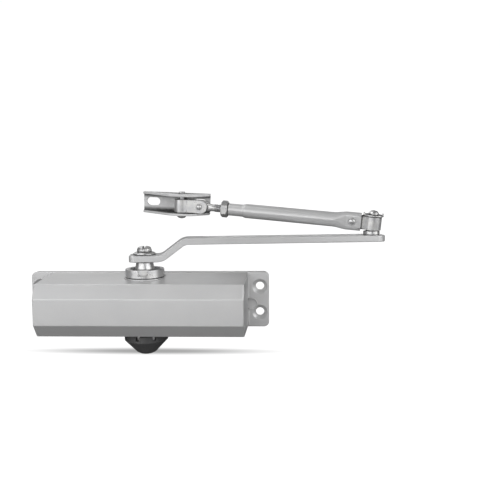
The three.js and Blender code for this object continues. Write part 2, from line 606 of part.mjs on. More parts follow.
function forearmTube() {
  const { radius, neck, bore, neckBore, start, end, neckLength, swage, edge } = TUBE;
  const press = [0, 0.25, 0.5, 0.75, 1].map((t) => {
    const x = THREE.MathUtils.lerp(FLAT.from, FLAT.to, t);
    return [x, THREE.MathUtils.smoothstep(t, 0, 1)];
  });
  const neckFrom = end + neckLength;
  const outside = pressedBar([[end, 0, neck - edge], [end + edge, 0, neck], [neckFrom, 0, neck],
    [neckFrom + swage, 0, radius], ...press.map(([x, flat]) => [x, flat, radius]), [start, 1, radius]],
  FLAT.halfThick, FLAT.straight);
  const inside = pressedBar([[end - PAST, 0, neckBore], [neckFrom + PAST, 0, neckBore],
    [neckFrom + PAST + swage, 0, bore], ...press.map(([x, flat]) => [x, flat, bore])],
  FLAT.innerHalfThick, FLAT.innerStraight);
  const legRoom = KNUCKLE.halfHeight + GAP;
  const legSide = KNUCKLE.legThick / 2 + GAP;
  const slot = box(KNUCKLE.legEnd - PAST, start + PAST, -legSide, legSide, -legRoom, legRoom);
  const rivetHole = bar('y', ELBOW_RIVET.radius + GAP, -radius, radius, [ELBOW_RIVET.x, 0], SMALL_ROUND);
  return cut(outside, inside, slot, rivetHole);
}

// A rivet across Y: a shank with a low round head at each end.
function rivet(shank, head, headHeight, halfGrip) {
  const body = bar('y', shank, -halfGrip - GAP, halfGrip + GAP, [0, 0], SMALL_ROUND);
  const cap = (side) => turned(dome(head, headHeight, side * halfGrip, side), 'y', [0, 0], SMALL_ROUND);
  return join(body, cap(1), cap(-1));
}

function forearmRod() {
  const { radius, start, end, edge, eye, eyeThick, webInset } = ROD;
  const shaft = turned([[0, start], [radius - edge, start], [radius, start + edge], [radius, end - edge],
    [radius - edge, end], [0, end]], 'x', [0, 0], SMALL_ROUND);
  const half = eyeThick / 2;
  const flatEye = bar('y', eye, -half, half, [SHOE_RIVET_X, 0], FINE_ROUND);
  const web = box(SHOE_RIVET_X, start + 2, -half, half, -radius + webInset, radius - webInset);
  const hole = bar('y', SHOE_RIVET.radius + GAP, -half - PAST, half + PAST, [SHOE_RIVET_X, 0], SMALL_ROUND);
  return cut(join(shaft, flatEye, web), hole);
}

function lockNut() {
  const { corner, thick, right, chamfer } = NUT;
  const left = right - thick;
  const flat = corner * Math.cos(Math.PI / 6);
  const hexagon = bar('x', corner, left, right, [0, 0], 6);
  const envelope = turned([[0, left], [flat, left], [corner, left + chamfer], [corner, right - chamfer],
    [flat, right], [0, right]], 'x');
  const hole = bar('x', ROD.radius + GAP, left - PAST, right + PAST, [0, 0], SMALL_ROUND);
  return cut(hexagon.intersect(envelope), hole);
}

// Strap folded around the shoe pin, with two legs apart for the rod's eye.
function shoeKnuckle() {
  const { radius, bore, halfHeight, legIn, legOut, end, barrelRoom } = SHOE_KNUCKLE;
  const legs = box(0, end, -legOut, legOut, -halfHeight, halfHeight);
  const body = join(bar('z', radius, -halfHeight, halfHeight), legs);
  const nose = end - halfHeight;
  const wide = radius + PAST;
  const tall = halfHeight + PAST;
  const roundNose = bar('y', halfHeight, -wide, wide, [nose, 0]);
  const side = join(box(-wide, nose, -wide, wide, -halfHeight, halfHeight), roundNose);
  const between = box(radius + barrelRoom, end + PAST, -legIn, legIn, -tall, tall);
  const rivetHole = bar('y', SHOE_RIVET.radius + GAP, -wide, wide, [-SHOE_PIN_X, 0], SMALL_ROUND);
  return cut(body.intersect(side), between, bar('z', bore, -tall, tall), rivetHole);
}

// U channel: its section runs along X and is trimmed to the plan of the tapering lugs.
function shoeBracket() {
  const { left, right, back, front, leftFront, rightFront, frontHalf, top, bottom, sheet } = BRACKET;
  const { outerBend, innerBend } = BRACKET;
  const open = front - PAST;
  const section = rounded([[open, top], [back, top, outerBend], [back, bottom, outerBend], [open, bottom],
    [open, bottom + sheet], [back - sheet, bottom + sheet, innerBend], [back - sheet, top - sheet, innerBend],
    [open, top - sheet]]);
  const plan = rounded([[left, back + PAST], [left, leftFront, 0.8], [-frontHalf, front, 4],
    [frontHalf, front, 4], [right, rightFront, 0.8], [right, back + PAST]]);
  const channel = alongX(section, left, right).intersect(upwards(plan, bottom - PAST, top + PAST));
  const slotFrom = back - sheet - PAST;
  const slotTo = back + PAST;
  const slots = SLOT.xs.map((x) => {
    const reach = SLOT.halfLength - SLOT.radius;
    const ends = [x - reach, x + reach].map((middle) => bar('y', SLOT.radius, slotFrom, slotTo,
      [middle, SLOT.z], FINE_ROUND));
    const middle = box(x - reach, x + reach, slotFrom, slotTo, SLOT.z - SLOT.radius, SLOT.z + SLOT.radius);
    return join(middle, ...ends);
  });
  const pinHole = bar('z', SHOE_PIN.radius + GAP, bottom - PAST, top + PAST, [0, 0], SMALL_ROUND);
  return cut(channel, ...slots, pinHole);
}

function shoePin() {
  const { radius, head, headHeight, tail, tailHeight } = SHOE_PIN;
  const low = BRACKET.bottom - GAP;
  const high = BRACKET.top + GAP;
  const shank = bar('z', radius, low - GAP, high + GAP, [0, 0], SMALL_ROUND);
  const upset = bar('z', tail, high, high + tailHeight);
  return join(shank, turned(dome(head, headHeight, low, -1)), upset);
}

function addBody() {
  const mirrored = 2 * BORE.z;
  const seatRing = BOSS.top + GAP;
  const flip = (manifold) => manifold.mirror([0, 0, 1]);
  const upper = (height) => [0, SPINDLE_Y, height];
  const lower = (height) => [0, SPINDLE_Y, mirrored - height];
  place(door_closer, 'housing', housing(), silverPaint());
  place(door_closer, 'end_plug', endPlug(), innerSteel());
  const plugSeal = oRing(PLUG_SEAL.radius, PLUG_SEAL.section);
  place(door_closer, 'end_plug_seal', plugSeal, rubber(), [PLUG.groove, BORE.y, BORE.z]);
  place(door_closer, 'top_ring_nut', ringNut(), platedSteel(), upper(seatRing));
  place(door_closer, 'bottom_ring_nut', flip(ringNut()), platedSteel(), lower(seatRing));
  place(door_closer, 'top_bearing', bearing(), bronze(), upper(SEAT.floor + GAP));
  place(door_closer, 'bottom_bearing', flip(bearing()), bronze(), lower(SEAT.floor + GAP));
  place(door_closer, 'top_seal', lipSeal(), rubber(), upper(SEAT.top + GAP));
  place(door_closer, 'bottom_seal', flip(lipSeal()), rubber(), lower(SEAT.top + GAP));
  place(door_closer, 'bottom_cap', bottomCap(), darkPlastic(), [0, SPINDLE_Y, 0]);
  for (const [name, y, z] of VALVE_SITES) {
    place(door_closer, name, valveScrew(), platedSteel(), [BODY.frontHalfLength - VALVE.inset, y, z]);
  }
}

function addPiston() {
  place(door_closer, 'piston', piston(), innerSteel());
  const sealX = (PISTON.windowRight + PISTON.right) / 2;
  const { inner, outer, half } = PISTON_SEAL;
  const seal = turned([[inner, -half], [outer, -half], [outer, half], [inner, half], [inner, -half]], 'x');
  place(door_closer, 'piston_seal', seal, rubber(), [sealX, BORE.y, BORE.z]);
  const ball = new THREE.SphereGeometry(CHECK.ball, 14, 8);
  const ballX = PISTON.right - CHECK.depth + CHECK.ball + GAP;
  place(door_closer, 'check_ball', solid(ball), innerSteel(), [ballX, BORE.y, BORE.z]);
  place(door_closer, 'check_plug', checkPlug(), innerSteel(), [0, BORE.y, BORE.z]);
  place(door_closer, 'closing_spring', closingSpring(), innerSteel(), [0, BORE.y, BORE.z]);
}

function addArm() {
  const arm = frame(door_closer, [0, SPINDLE_Y, 0], 'XYZ', [0, 0, ARM_TURN]);
  const washerBase = ARM.low + ARM.thick / 2 + GAP;
  place(arm, 'spindle', spindle(), innerSteel());
  place(arm, 'main_arm', mainArm(), silverPaint());
  place(arm, 'arm_washer', armWasher(washerBase), platedSteel());
  place(arm, 'arm_screw', armScrew(washerBase + WASHER.thick + GAP), platedSteel());
  place(arm, 'elbow_spacer', elbowSpacer(), platedSteel(), [ARM.length, 0, ARM_TOP]);
}

function addForearm() {
  const elbow = [ARM.length * Math.cos(ARM_TURN), SPINDLE_Y + ARM.length * Math.sin(ARM_TURN), ARM_TOP];
  const forearm = frame(door_closer, elbow, 'ZYX', [FOREARM_ROLL, FOREARM_SLOPE, FOREARM_TURN]);
  place(forearm, 'elbow_pin', elbowPin(), platedSteel());
  place(forearm, 'elbow_washer', elbowWasher(), platedSteel());
  place(forearm, 'elbow_knuckle', elbowKnuckle(), platedSteel());
  const onAxis = [0, 0, AXIS_HEIGHT];
  place(forearm, 'forearm_tube', forearmTube(), silverPaint(), onAxis);
  const { radius, head, headHeight } = ELBOW_RIVET;
  place(forearm, 'elbow_rivet', rivet(radius, head, headHeight, FLAT.halfThick + GAP), platedSteel(),
    [ELBOW_RIVET.x, 0, AXIS_HEIGHT]);
  place(forearm, 'forearm_rod', forearmRod(), platedSteel(), onAxis);
  place(forearm, 'lock_nut', lockNut(), platedSteel(), onAxis);
  return forearm;
}

function addShoe(forearm) {
  const tilt = frame(forearm, [SHOE_RIVET_X, 0, AXIS_HEIGHT], 'XYZ', [0, SHOE_TILT, 0]);
  const { radius, head, headHeight } = SHOE_RIVET;
  place(tilt, 'shoe_rivet', rivet(radius, head, headHeight, SHOE_KNUCKLE.legOut + GAP), platedSteel());
  place(tilt, 'shoe_knuckle', shoeKnuckle(), platedSteel(), [SHOE_PIN_X, 0, 0]);
  const shoe = frame(tilt, [SHOE_PIN_X, 0, 0], 'XYZ', [0, 0, -FOREARM_TURN]);
  place(shoe, 'shoe_bracket', shoeBracket(), bracketSteel());
  place(shoe, 'shoe_pin', shoePin(), platedSteel());
}

addBody();
addPiston();
addArm();
addShoe(addForearm());

export default door_closer;
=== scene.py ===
"""Surface-mounted door closer: the visual model, in metres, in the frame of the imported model."""
import json
import math

import bmesh
import bpy
from mathutils import Matrix, Vector


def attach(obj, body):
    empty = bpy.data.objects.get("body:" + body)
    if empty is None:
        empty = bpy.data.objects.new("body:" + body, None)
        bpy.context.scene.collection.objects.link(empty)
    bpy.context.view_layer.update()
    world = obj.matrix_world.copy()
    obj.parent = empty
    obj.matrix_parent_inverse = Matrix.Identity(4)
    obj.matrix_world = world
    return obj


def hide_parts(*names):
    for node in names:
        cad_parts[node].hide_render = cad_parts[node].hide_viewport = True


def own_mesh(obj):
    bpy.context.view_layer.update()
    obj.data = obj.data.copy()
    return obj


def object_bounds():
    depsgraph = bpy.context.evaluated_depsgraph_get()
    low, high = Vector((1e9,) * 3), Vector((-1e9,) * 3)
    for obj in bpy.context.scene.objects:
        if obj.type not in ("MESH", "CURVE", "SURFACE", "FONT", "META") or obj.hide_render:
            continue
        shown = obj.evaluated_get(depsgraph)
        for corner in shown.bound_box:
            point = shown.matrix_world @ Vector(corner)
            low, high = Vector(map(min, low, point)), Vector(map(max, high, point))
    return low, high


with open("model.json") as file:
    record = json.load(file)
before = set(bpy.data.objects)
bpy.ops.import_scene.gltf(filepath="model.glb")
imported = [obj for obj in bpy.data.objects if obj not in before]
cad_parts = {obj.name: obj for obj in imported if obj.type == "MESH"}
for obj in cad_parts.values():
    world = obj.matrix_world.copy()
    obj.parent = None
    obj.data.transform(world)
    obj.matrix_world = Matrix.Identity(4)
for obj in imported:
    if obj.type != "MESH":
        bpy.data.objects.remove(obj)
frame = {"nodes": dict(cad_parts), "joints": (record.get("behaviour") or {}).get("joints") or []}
CAD_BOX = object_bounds()
JOINTS = {joint["name"]: joint for joint in frame["joints"]}
MM = 0.001
FINE = 96
X, Z = Vector((1, 0, 0)), Vector((0, 0, 1))

# ---- frames of the moving groups


def joint_place(name):
    return Vector(JOINTS[name]["pos_m"])


def joint_axis(name):
    return Vector(JOINTS[name]["axis"]).normalized()


def basis(origin, along, up):
    """A frame whose Z is up and whose X is as near to along as it can be."""
    up = up.normalized()
    side = up.cross(along).normalized()
    matrix = Matrix((side.cross(up), side, up)).transposed().to_4x4()
    matrix.translation = origin
    return matrix


def shift(x, y, z):
    """A move in millimetres."""
    return Matrix.Translation(Vector((x, y, z)) * MM)


SPINDLE_Y = joint_place("spindle_turn").y / MM
ELBOW_UP = -joint_axis("elbow_pivot")
# The elbow joint's point lies on the pin's axis, level with the forearm tube.
AXIS_HEIGHT = 8.55
ELBOW = joint_place("elbow_pivot") - ELBOW_UP * AXIS_HEIGHT * MM
AT_FOREARM = basis(ELBOW, -joint_axis("rod_adjust"), ELBOW_UP)
AT_ARM = basis(Vector((0, SPINDLE_Y * MM, 0)), Vector((ELBOW.x, ELBOW.y - SPINDLE_Y * MM, 0)), Z)
AT_TUBE = AT_FOREARM @ shift(0, 0, AXIS_HEIGHT)
SHOE_UP = joint_axis("shoe_pivot")
AT_KNUCKLE = basis(joint_place("shoe_pivot"), joint_axis("shoe_tilt").cross(SHOE_UP), SHOE_UP)
SHOE_TURN = math.radians(8)
AT_SHOE = AT_KNUCKLE @ Matrix.Rotation(SHOE_TURN, 4, "Z")

# ---- outlines and solids, in millimetres


def fillet(points, closed=True, steps=5):
    """An outline through (x, y, radius) corners, each rounded by an arc tangent to both of its sides."""
    made = []
    count = len(points)
    for i, (x, y, *rest) in enumerate(points):
        radius = rest[0] if rest else 0
        here = Vector((x, y))
        if radius <= 0 or (not closed and i in (0, count - 1)):
            made.append(here)
            continue
        before = (Vector(points[i - 1][:2]) - here).normalized()
        after = (Vector(points[(i + 1) % count][:2]) - here).normalized()
        half = math.acos(max(-1, min(1, before.dot(after)))) / 2
        centre = here + (before + after).normalized() * (radius / math.sin(half))
        start = here + before * (radius / math.tan(half)) - centre
        end = here + after * (radius / math.tan(half)) - centre
        first = math.atan2(start.y, start.x)
        turn = (math.atan2(end.y, end.x) - first + math.pi) % (2 * math.pi) - math.pi
        for k in range(steps + 1):
            angle = first + turn * k / steps
            made.append(centre + radius * Vector((math.cos(angle), math.sin(angle))))
    return made


def arc(radius, start, end, steps, middle=(0, 0)):
    """Points of a circular arc, in degrees."""
    turns = [math.radians(start + (end - start) * k / steps) for k in range(steps + 1)]
    return [(middle[0] + radius * math.cos(a), middle[1] + radius * math.sin(a)) for a in turns]


def anticlockwise(outline):
    area = sum(p.x * q.y - q.x * p.y for p, q in zip(outline, outline[1:] + outline[:1]))
    return outline if area > 0 else outline[::-1]


def inset(outline, distance):
    """The anticlockwise outline moved inwards."""
    moved = []
    for i, here in enumerate(outline):
        one = (here - outline[i - 1]).normalized()
        two = (outline[(i + 1) % len(outline)] - here).normalized()
        a, b = Vector((-one.y, one.x)), Vector((-two.y, two.x))
        moved.append(here + (a + b) * (distance / (1 + a.dot(b))))
    return moved


def loft(rings, closed=False):
    """A skin through rings of equally many points, capped unless the last ring meets the first."""
    bm = bmesh.new()
    rows = [[bm.verts.new(point) for point in ring] for ring in rings]
    for a, b in zip(rows, rows[1:] + ([rows[0]] if closed else [])):
        for i in range(len(a)):
            j = (i + 1) % len(a)
            bm.faces.new((a[i], a[j], b[j], b[i]))
    if not closed:
        bm.faces.new(rows[0])
        bm.faces.new(rows[-1])
    return bm


PLANES = {
    "xy": lambda u, v, w: (u, v, w),
    "yz": lambda u, v, w: (w, u, v),
    "xz": lambda u, v, w: (u, w, v),
}


def quarter(steps):
    """Angles from 0 to a right angle."""
    return [k / steps * math.pi / 2 for k in range(steps + 1)]


def circle(count):
    """Angles evenly round a circle."""
    return [2 * math.pi * k / count for k in range(count)]


def prism(outline, low, high, edge=0.0, plane="xy", steps=4):
    """An outline run from low to high across its plane, with its end edges rounded by edge."""
    outline = anticlockwise([Vector(point[:2]) for point in outline])
    stations = [(low, 0.0), (high, 0.0)]
    if edge > 0:
        rounds = [(edge * (1 - math.cos(a)), edge * (1 - math.sin(a))) for a in quarter(steps)]
        stations = [(low + w, d) for w, d in rounds] + [(high - w, d) for w, d in rounds[::-1]]
    to_space = PLANES[plane]
    return loft([[to_space(p.x, p.y, w) for p in inset(outline, d)] for w, d in stations])


def turned(profile, segments=FINE):
    """A profile of (radius, height) points turned about Z, from axis to axis or as a closed loop."""
    bm = bmesh.new()
    rows = []
    for radius, height in profile:
        if radius < 1e-5:
            rows.append([bm.verts.new((0, 0, height))])
            continue
        points = [(radius * math.cos(a), radius * math.sin(a), height) for a in circle(segments)]
        rows.append([bm.verts.new(point) for point in points])
    looped = profile[0][0] > 1e-5
    for a, b in zip(rows, rows[1:] + ([rows[0]] if looped else [])):
        for k in range(segments):
            m = (k + 1) % segments
            corners = [a[k % len(a)], a[m % len(a)], b[m % len(b)], b[k % len(b)]]
            unique = list(dict.fromkeys(corners))
            if len(unique) > 2:
                bm.faces.new(unique)
    return bm


def shape(profile, steps=5):
    """A turning profile with rounded corners. Its first and last points lie on the axis and stay sharp."""
    return fillet(profile, closed=False, steps=steps)


def ring_shape(profile, steps=4):
    return fillet(profile, closed=True, steps=steps)


def bar(radius, low, high, segments=FINE, edge=0.0, top=None):
    """A round bar along Z, or a cone where top is its other radius."""
    top = radius if top is None else top
    return turned(shape([(0, low), (radius, low, edge), (top, high, edge), (0, high)]), segments)


def block(x0, x1, y0, y1, z0, z1):
    return prism([(x0, y0), (x1, y0), (x1, y1), (x0, y1)], z0, z1)


def rectangle(x0, x1, y0, y1, radius=0.0, steps=5):
    return fillet([(x0, y0, radius), (x1, y0, radius), (x1, y1, radius), (x0, y1, radius)], steps=steps)


TURN_TO = {
    "x": Matrix.Rotation(math.pi / 2, 4, "Y"),
    "-x": Matrix.Rotation(-math.pi / 2, 4, "Y"),
    "y": Matrix.Rotation(-math.pi / 2, 4, "X"),
    "-y": Matrix.Rotation(math.pi / 2, 4, "X"),
    "-z": Matrix.Rotation(math.pi, 4, "X"),
}


def put(bm, at=(0, 0, 0), axis=None, spin=0.0):
    """Spins a solid about its own Z, points that Z along an axis, then moves it."""
    matrix = Matrix.Translation(Vector(at)) @ TURN_TO.get(axis, Matrix.Identity(4))
    bmesh.ops.transform(bm, matrix=matrix @ Matrix.Rotation(spin, 4, "Z"), verts=bm.verts)
    return bm


def placed(name, data):
    """A new object in the scene."""
    made = bpy.data.objects.new(name, data)
    bpy.context.scene.collection.objects.link(made)
    return made


def raw(bm):
    """The bmesh as an object, with its faces turned outwards."""
    bmesh.ops.recalc_face_normals(bm, faces=bm.faces)
    mesh = bpy.data.meshes.new("raw")
    bm.to_mesh(mesh)
    bm.free()
    return placed("raw", mesh)


def solid(thing):
    return thing if isinstance(thing, bpy.types.Object) else raw(thing)


def settle(thing):
    """Applies a raw object's modifiers."""
    graph = bpy.context.evaluated_depsgraph_get()
    mesh = bpy.data.meshes.new_from_object(thing.evaluated_get(graph))
    thing.modifiers.clear()
    old = thing.data
    thing.data = mesh
    bpy.data.meshes.remove(old)
    return thing


def combine(thing, operation, *tools):
    thing = solid(thing)
    tools = [solid(tool) for tool in tools]
    for tool in tools:
        modifier = thing.modifiers.new("combine", "BOOLEAN")
        modifier.operation = operation
        modifier.solver = "MANIFOLD"
        modifier.object = tool
    settle(thing)
    for tool in tools:
        bpy.data.objects.remove(tool)
    return thing


def join(thing, *tools):
    return combine(thing, "UNION", *tools)


def cut(thing, *tools):
    return combine(thing, "DIFFERENCE", *tools)


def common(thing, *tools):
    return combine(thing, "INTERSECT", *tools)


def soften(thing, width, angle=38, segments=3):
    """Rounds the edges that a cut left sharp."""
    bm = bmesh.new()
    bm.from_mesh(thing.data)
    bmesh.ops.remove_doubles(bm, verts=bm.verts, dist=0.004)
    bmesh.ops.dissolve_limit(bm, angle_limit=math.radians(0.4), verts=bm.verts, edges=bm.edges)
    bm.to_mesh(thing.data)
    bm.free()
    bevel = thing.modifiers.new("soften", "BEVEL")
    bevel.width = width
    bevel.segments = segments
    bevel.limit_method = "ANGLE"
    bevel.angle_limit = math.radians(angle)
    bevel.use_clamp_overlap = False
    bevel.miter_outer = "MITER_ARC"
    return settle(thing)


CREASE = math.radians(34)


def piece(name, thing, at, body, finish):
    """Stands a solid in for a CAD node: moves it to the shared frame and hangs it on a CAD body."""
    thing = solid(thing)
    mesh = thing.data
    mesh.name = thing.name = name + "_visual"
    local = mesh.attributes.new("local", "FLOAT_VECTOR", "POINT")
    flat = [c for vertex in mesh.vertices for c in vertex.co]
    local.data.foreach_set("vector", flat)
    mesh.transform(at @ Matrix.Scale(MM, 4))
    bm = bmesh.new()
    bm.from_mesh(mesh)
    for face in bm.faces:
        face.smooth = True
    for edge in bm.edges:
        edge.smooth = edge.is_manifold and edge.calc_face_angle(0) < CREASE
    bm.to_mesh(mesh)
    bm.free()
    weighted = thing.modifiers.new("weighted", "WEIGHTED_NORMAL")
    weighted.keep_sharp = True
    mesh.materials.clear()
    mesh.materials.append(finish)
    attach(thing, body)
    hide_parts(name)
    return thing


# ---- finishes


class Finish:
    """A procedural material, worked out in the piece's own millimetres."""

    def __init__(self, name, packed=False):
        self.material = bpy.data.materials.new(name)
        self.material.use_nodes = True
        self.tree = self.material.node_tree
        self.shader = next(n for n in self.tree.nodes if n.type == "BSDF_PRINCIPLED")
        if packed:
            source = self.node("ShaderNodeTexCoord").outputs["Object"]
            self.place = self.vector("SCALE", source, scale=1 / MM)
        else:
            self.place = self.node("ShaderNodeAttribute", attribute_name="local").outputs["Vector"]

    def node(self, kind, inputs=(), **values):
        """A new node; inputs holds what each of its sockets is linked or set to."""
        made = self.tree.nodes.new(kind)
        for key, value in values.items():
            setattr(made, key, value)
        for key, value in dict(inputs).items():
            if value is not None:
                self.link(value, made.inputs[key])
        return made

    def link(self, value, socket):
        if isinstance(value, bpy.types.NodeSocket):
            self.tree.links.new(value, socket)
        else:
            socket.default_value = value

    def math(self, operation, a, b=None):
        return self.node("ShaderNodeMath", {0: a, 1: b}, operation=operation).outputs[0]

    def times(self, a, b):
        return self.math("MULTIPLY", a, b)

    def vector(self, operation, a, b=None, scale=None):
        made = self.node("ShaderNodeVectorMath", {0: a, 1: b, "Scale": scale}, operation=operation)
        return made.outputs["Value" if operation in ("LENGTH", "DOT_PRODUCT") else "Vector"]

    def noise(self, scale, detail=3.0, rough=0.5, stretch=None, place=None):
        place = self.place if place is None else place
        if stretch is not None:
            place = self.vector("MULTIPLY", place, stretch)
        sockets = {"Vector": place, "Scale": scale, "Detail": detail, "Roughness": rough}
        return self.node("ShaderNodeTexNoise", sockets).outputs[0]

    def cells(self, scale):
        return self.node("ShaderNodeTexVoronoi", {"Vector": self.place, "Scale": scale}).outputs["Distance"]

    def span(self, value, low, high, to_low=0.0, to_high=1.0, ease="LINEAR"):
        """The value carried from one range into another, and held at its ends."""
        sockets = dict(enumerate((value, low, high, to_low, to_high)))
        return self.node("ShaderNodeMapRange", sockets, interpolation_type=ease).outputs[0]

    def mix(self, amount, a, b):
        made = self.node("ShaderNodeMix", {}, data_type="RGBA")
        for socket, value in ((0, amount), (6, a), (7, b)):
            self.link((*value, 1) if isinstance(value, tuple) else value, made.inputs[socket])
        return made.outputs[2]

    def edges(self, radius):
        """1 along the edges, 0 on the flats: the mask for edge wear, and in the metals for a painted edge
        highlight too.
        """
        rounded = self.node("ShaderNodeBevel", {"Radius": radius * MM}, samples=6).outputs[0]
        normal = self.node("ShaderNodeNewGeometry").outputs["Normal"]
        return self.span(self.vector("DOT_PRODUCT", rounded, normal), 1.0, 0.93)

    def painted_corner_shade(self, distance):
        """Painted shade: 1 deep in corners, 0 in the open, from ambient occlusion."""
        shade = self.node("ShaderNodeAmbientOcclusion", {"Distance": distance * MM}, samples=6)
        return self.span(shade.outputs["AO"], 0.85, 0.25)

    def along(self, axis):
        """Distance along an axis."""
        return self.node("ShaderNodeSeparateXYZ", {0: self.place}).outputs["xyz".index(axis)]

    def radial(self, axis):
        """Distance from the turning axis."""
        keep = {"x": (0, 1, 1), "y": (1, 0, 1), "z": (1, 1, 0)}[axis]
        return self.vector("LENGTH", self.vector("MULTIPLY", self.place, keep))

    def finish(self, color, roughness, heights, metallic=0.0, **values):
        """heights is a list of (height, millimetres of relief)."""
        self.link(color, self.shader.inputs["Base Color"])
        self.link(roughness, self.shader.inputs["Roughness"])
        self.shader.inputs["Metallic"].default_value = metallic
        for key, value in values.items():
            self.shader.inputs[key.replace("_", " ")].default_value = value
        normal = None
        for height, relief in heights:
            sockets = {"Strength": 1.0, "Distance": relief * MM, "Height": height, "Normal": normal}
            normal = self.node("ShaderNodeBump", sockets).outputs[0]
        self.link(normal, self.shader.inputs["Normal"])
        return self.material


def tint(tone, *parts):
    """The tone times one part, as a grey, or times three parts, as a colour."""
    return tuple(min(1, tone * part) for part in (parts * 3)[:3])


def silver_paint(name, tone, cast=False, rough=0.34):
    """Satin silver paint: fine metal flake in a slightly uneven coat, edges brighter from wear and a painted
    highlight.
    """
    f = Finish(name)
    flake = f.noise(7.0, 1.5, 0.6)
    cloud = f.noise(0.045, 3.0)
    peel = f.noise(0.9, 2.0)
    speck = f.span(f.cells(2.6), 0.0, 0.14, 1.0, 0.0)
    base = f.mix(f.span(cloud, 0.3, 0.7), tint(tone, 0.955, 0.958, 0.965), tint(tone, 1))
    base = f.mix(f.span(flake, 0.35, 0.68, 0.0, 0.22), base, tint(tone, 1.2, 1.2, 1.21))
    base = f.mix(f.times(speck, 0.16), base, tint(tone, 0.72, 0.72, 0.73))
    # Lighter edges: partly worn paint, partly a painted highlight.
    edge_wear_and_highlight = f.times(f.edges(0.9), f.span(f.noise(0.35, 4.0), 0.36, 0.62, 0.25, 1.0))
    base = f.mix(f.times(edge_wear_and_highlight, 0.4), base, tint(tone, 1.3))
    # Painted shade: darker deep in corners.
    base = f.mix(f.times(f.painted_corner_shade(2.0), 0.85), base, tint(tone, 0.15))
    rough = f.span(f.noise(0.12, 4.0), 0.3, 0.7, rough, rough + 0.08)
    rough = f.math("SUBTRACT", rough, f.times(edge_wear_and_highlight, 0.03))
    heights = [(peel, 0.012), (flake, 0.008)]
    if cast:
        heights.insert(0, (f.noise(0.16, 4.0, 0.55), 0.05))
    return f.finish(base, rough, heights, metallic=0.45)


def plated(name, turning=None, tone=0.8, rough=0.25, stretch=(1, 1, 1), metallic=0.86):
    """Bright zinc plate over turned or pressed steel, with tool lines, faint clouding and small dark pits."""
    f = Finish(name)
    cloud = f.noise(0.22, 4.0)
    pits = f.span(f.cells(0.8), 0.0, 0.1, 1.0, 0.0)
    warm = tint(tone, 1.0, 0.995, 0.98)
    cool = tint(tone, 0.84, 0.845, 0.86)
    base = f.mix(f.span(cloud, 0.35, 0.65), cool, warm)
    base = f.mix(f.times(pits, 0.35), base, tint(tone, 0.45))
    # Painted shade: nearly black deep in corners.
    base = f.mix(f.painted_corner_shade(1.6), base, tint(tone, 0.05))
    # Brighter edges: partly wear, partly a painted highlight.
    edge_wear_and_highlight = f.edges(0.35)
    base = f.mix(f.times(edge_wear_and_highlight, 0.5), base, tint(tone, 1.12))
    roughness = f.span(f.noise(0.5, 5.0), 0.3, 0.7, rough, rough + 0.14)
    heights = [(cloud, 0.012)]
    if turning:
        across = f.node("ShaderNodeCombineXYZ", {0: f.radial(turning), 1: f.along(turning)})
        heights.append((f.noise(9.0, 2.0, place=across.outputs[0]), 0.006))
    else:
        heights.append((f.noise(5.0, 2.5, stretch=stretch), 0.002))
    return f.finish(base, roughness, heights, metallic=metallic)


BRACKET = {"left": -31, "right": 21, "back": 10, "front": -8, "top": 9.2, "bottom": -7.05, "sheet": 1.8}


def rolled_steel(name, tone=0.72):
    """Plain rolled strip: fine lines along its length, soft mottling and bright edges, part pressing wear and
    part painted highlight.
    """
    f = Finish(name)
    lines = f.noise(2.2, 4.0, stretch=(0.06, 1, 1))
    mottle = f.noise(0.3, 5.0, 0.6)
    base = f.mix(f.span(mottle, 0.32, 0.68), tint(tone, 0.86, 0.865, 0.875), tint(tone, 1))
    base = f.mix(f.span(lines, 0.35, 0.65, 0.0, 0.3), base, tint(tone, 1.14))
    # Brighter edges: partly pressing wear, partly a painted highlight.
    base = f.mix(f.times(f.edges(0.5), 0.55), base, tint(tone, 1.4))
    # Painted shade: darker deep in corners.
    base = f.mix(f.times(f.painted_corner_shade(2.5), 0.8), base, tint(tone, 0.1))
    # Painted shade in the folds: dark on the inner faces of both lugs and along the web beside them.
    top, bottom, sheet = BRACKET["top"], BRACKET["bottom"], BRACKET["sheet"]
    web, lug = BRACKET["back"] - sheet, (top - bottom) / 2 - sheet
    off_middle = f.math("ABSOLUTE", f.math("SUBTRACT", f.along("z"), (top + bottom) / 2))
    near_fold = f.span(off_middle, lug - 3.2, lug - 0.9)
    inside = f.times(f.span(off_middle, lug + 0.03, lug + 0.1, 1.0, 0.0),
                     f.span(f.along("y"), web + 0.2, web + 1, 1.0, 0.0))
    painted_fold_shade = f.times(f.times(near_fold, inside), f.span(mottle, 0.25, 0.6, 0.7, 0.95))
    base = f.mix(painted_fold_shade, base, tint(tone, 0.08))
    rough = f.span(f.noise(0.8, 4.0), 0.3, 0.7, 0.38, 0.5)
    return f.finish(base, rough, [(lines, 0.01), (mottle, 0.012)], metallic=0.5)


def moulded_plastic(name, tone=0.075):
    """Dark grey moulded plastic with a spark-eroded grain, rubbed paler on its corners."""
    f = Finish(name)
    grain = f.noise(3.2, 3.0, 0.65)
    cloud = f.noise(0.15, 3.0)
    base = f.mix(f.span(cloud, 0.3, 0.7), tint(tone, 0.88, 0.89, 0.91), tint(tone, 1.08))
    rub = f.times(f.edges(0.5), f.span(f.noise(0.9, 4.0), 0.4, 0.6, 0.2, 1.0))
    base = f.mix(f.times(rub, 0.5), base, tint(tone, 2.1))
    # Painted shade: darker deep in corners.
    base = f.mix(f.times(f.painted_corner_shade(2.0), 0.5), base, tint(tone, 0.4))
    rough = f.span(grain, 0.3, 0.7, 0.42, 0.58)
    return f.finish(base, rough, [(grain, 0.02)])


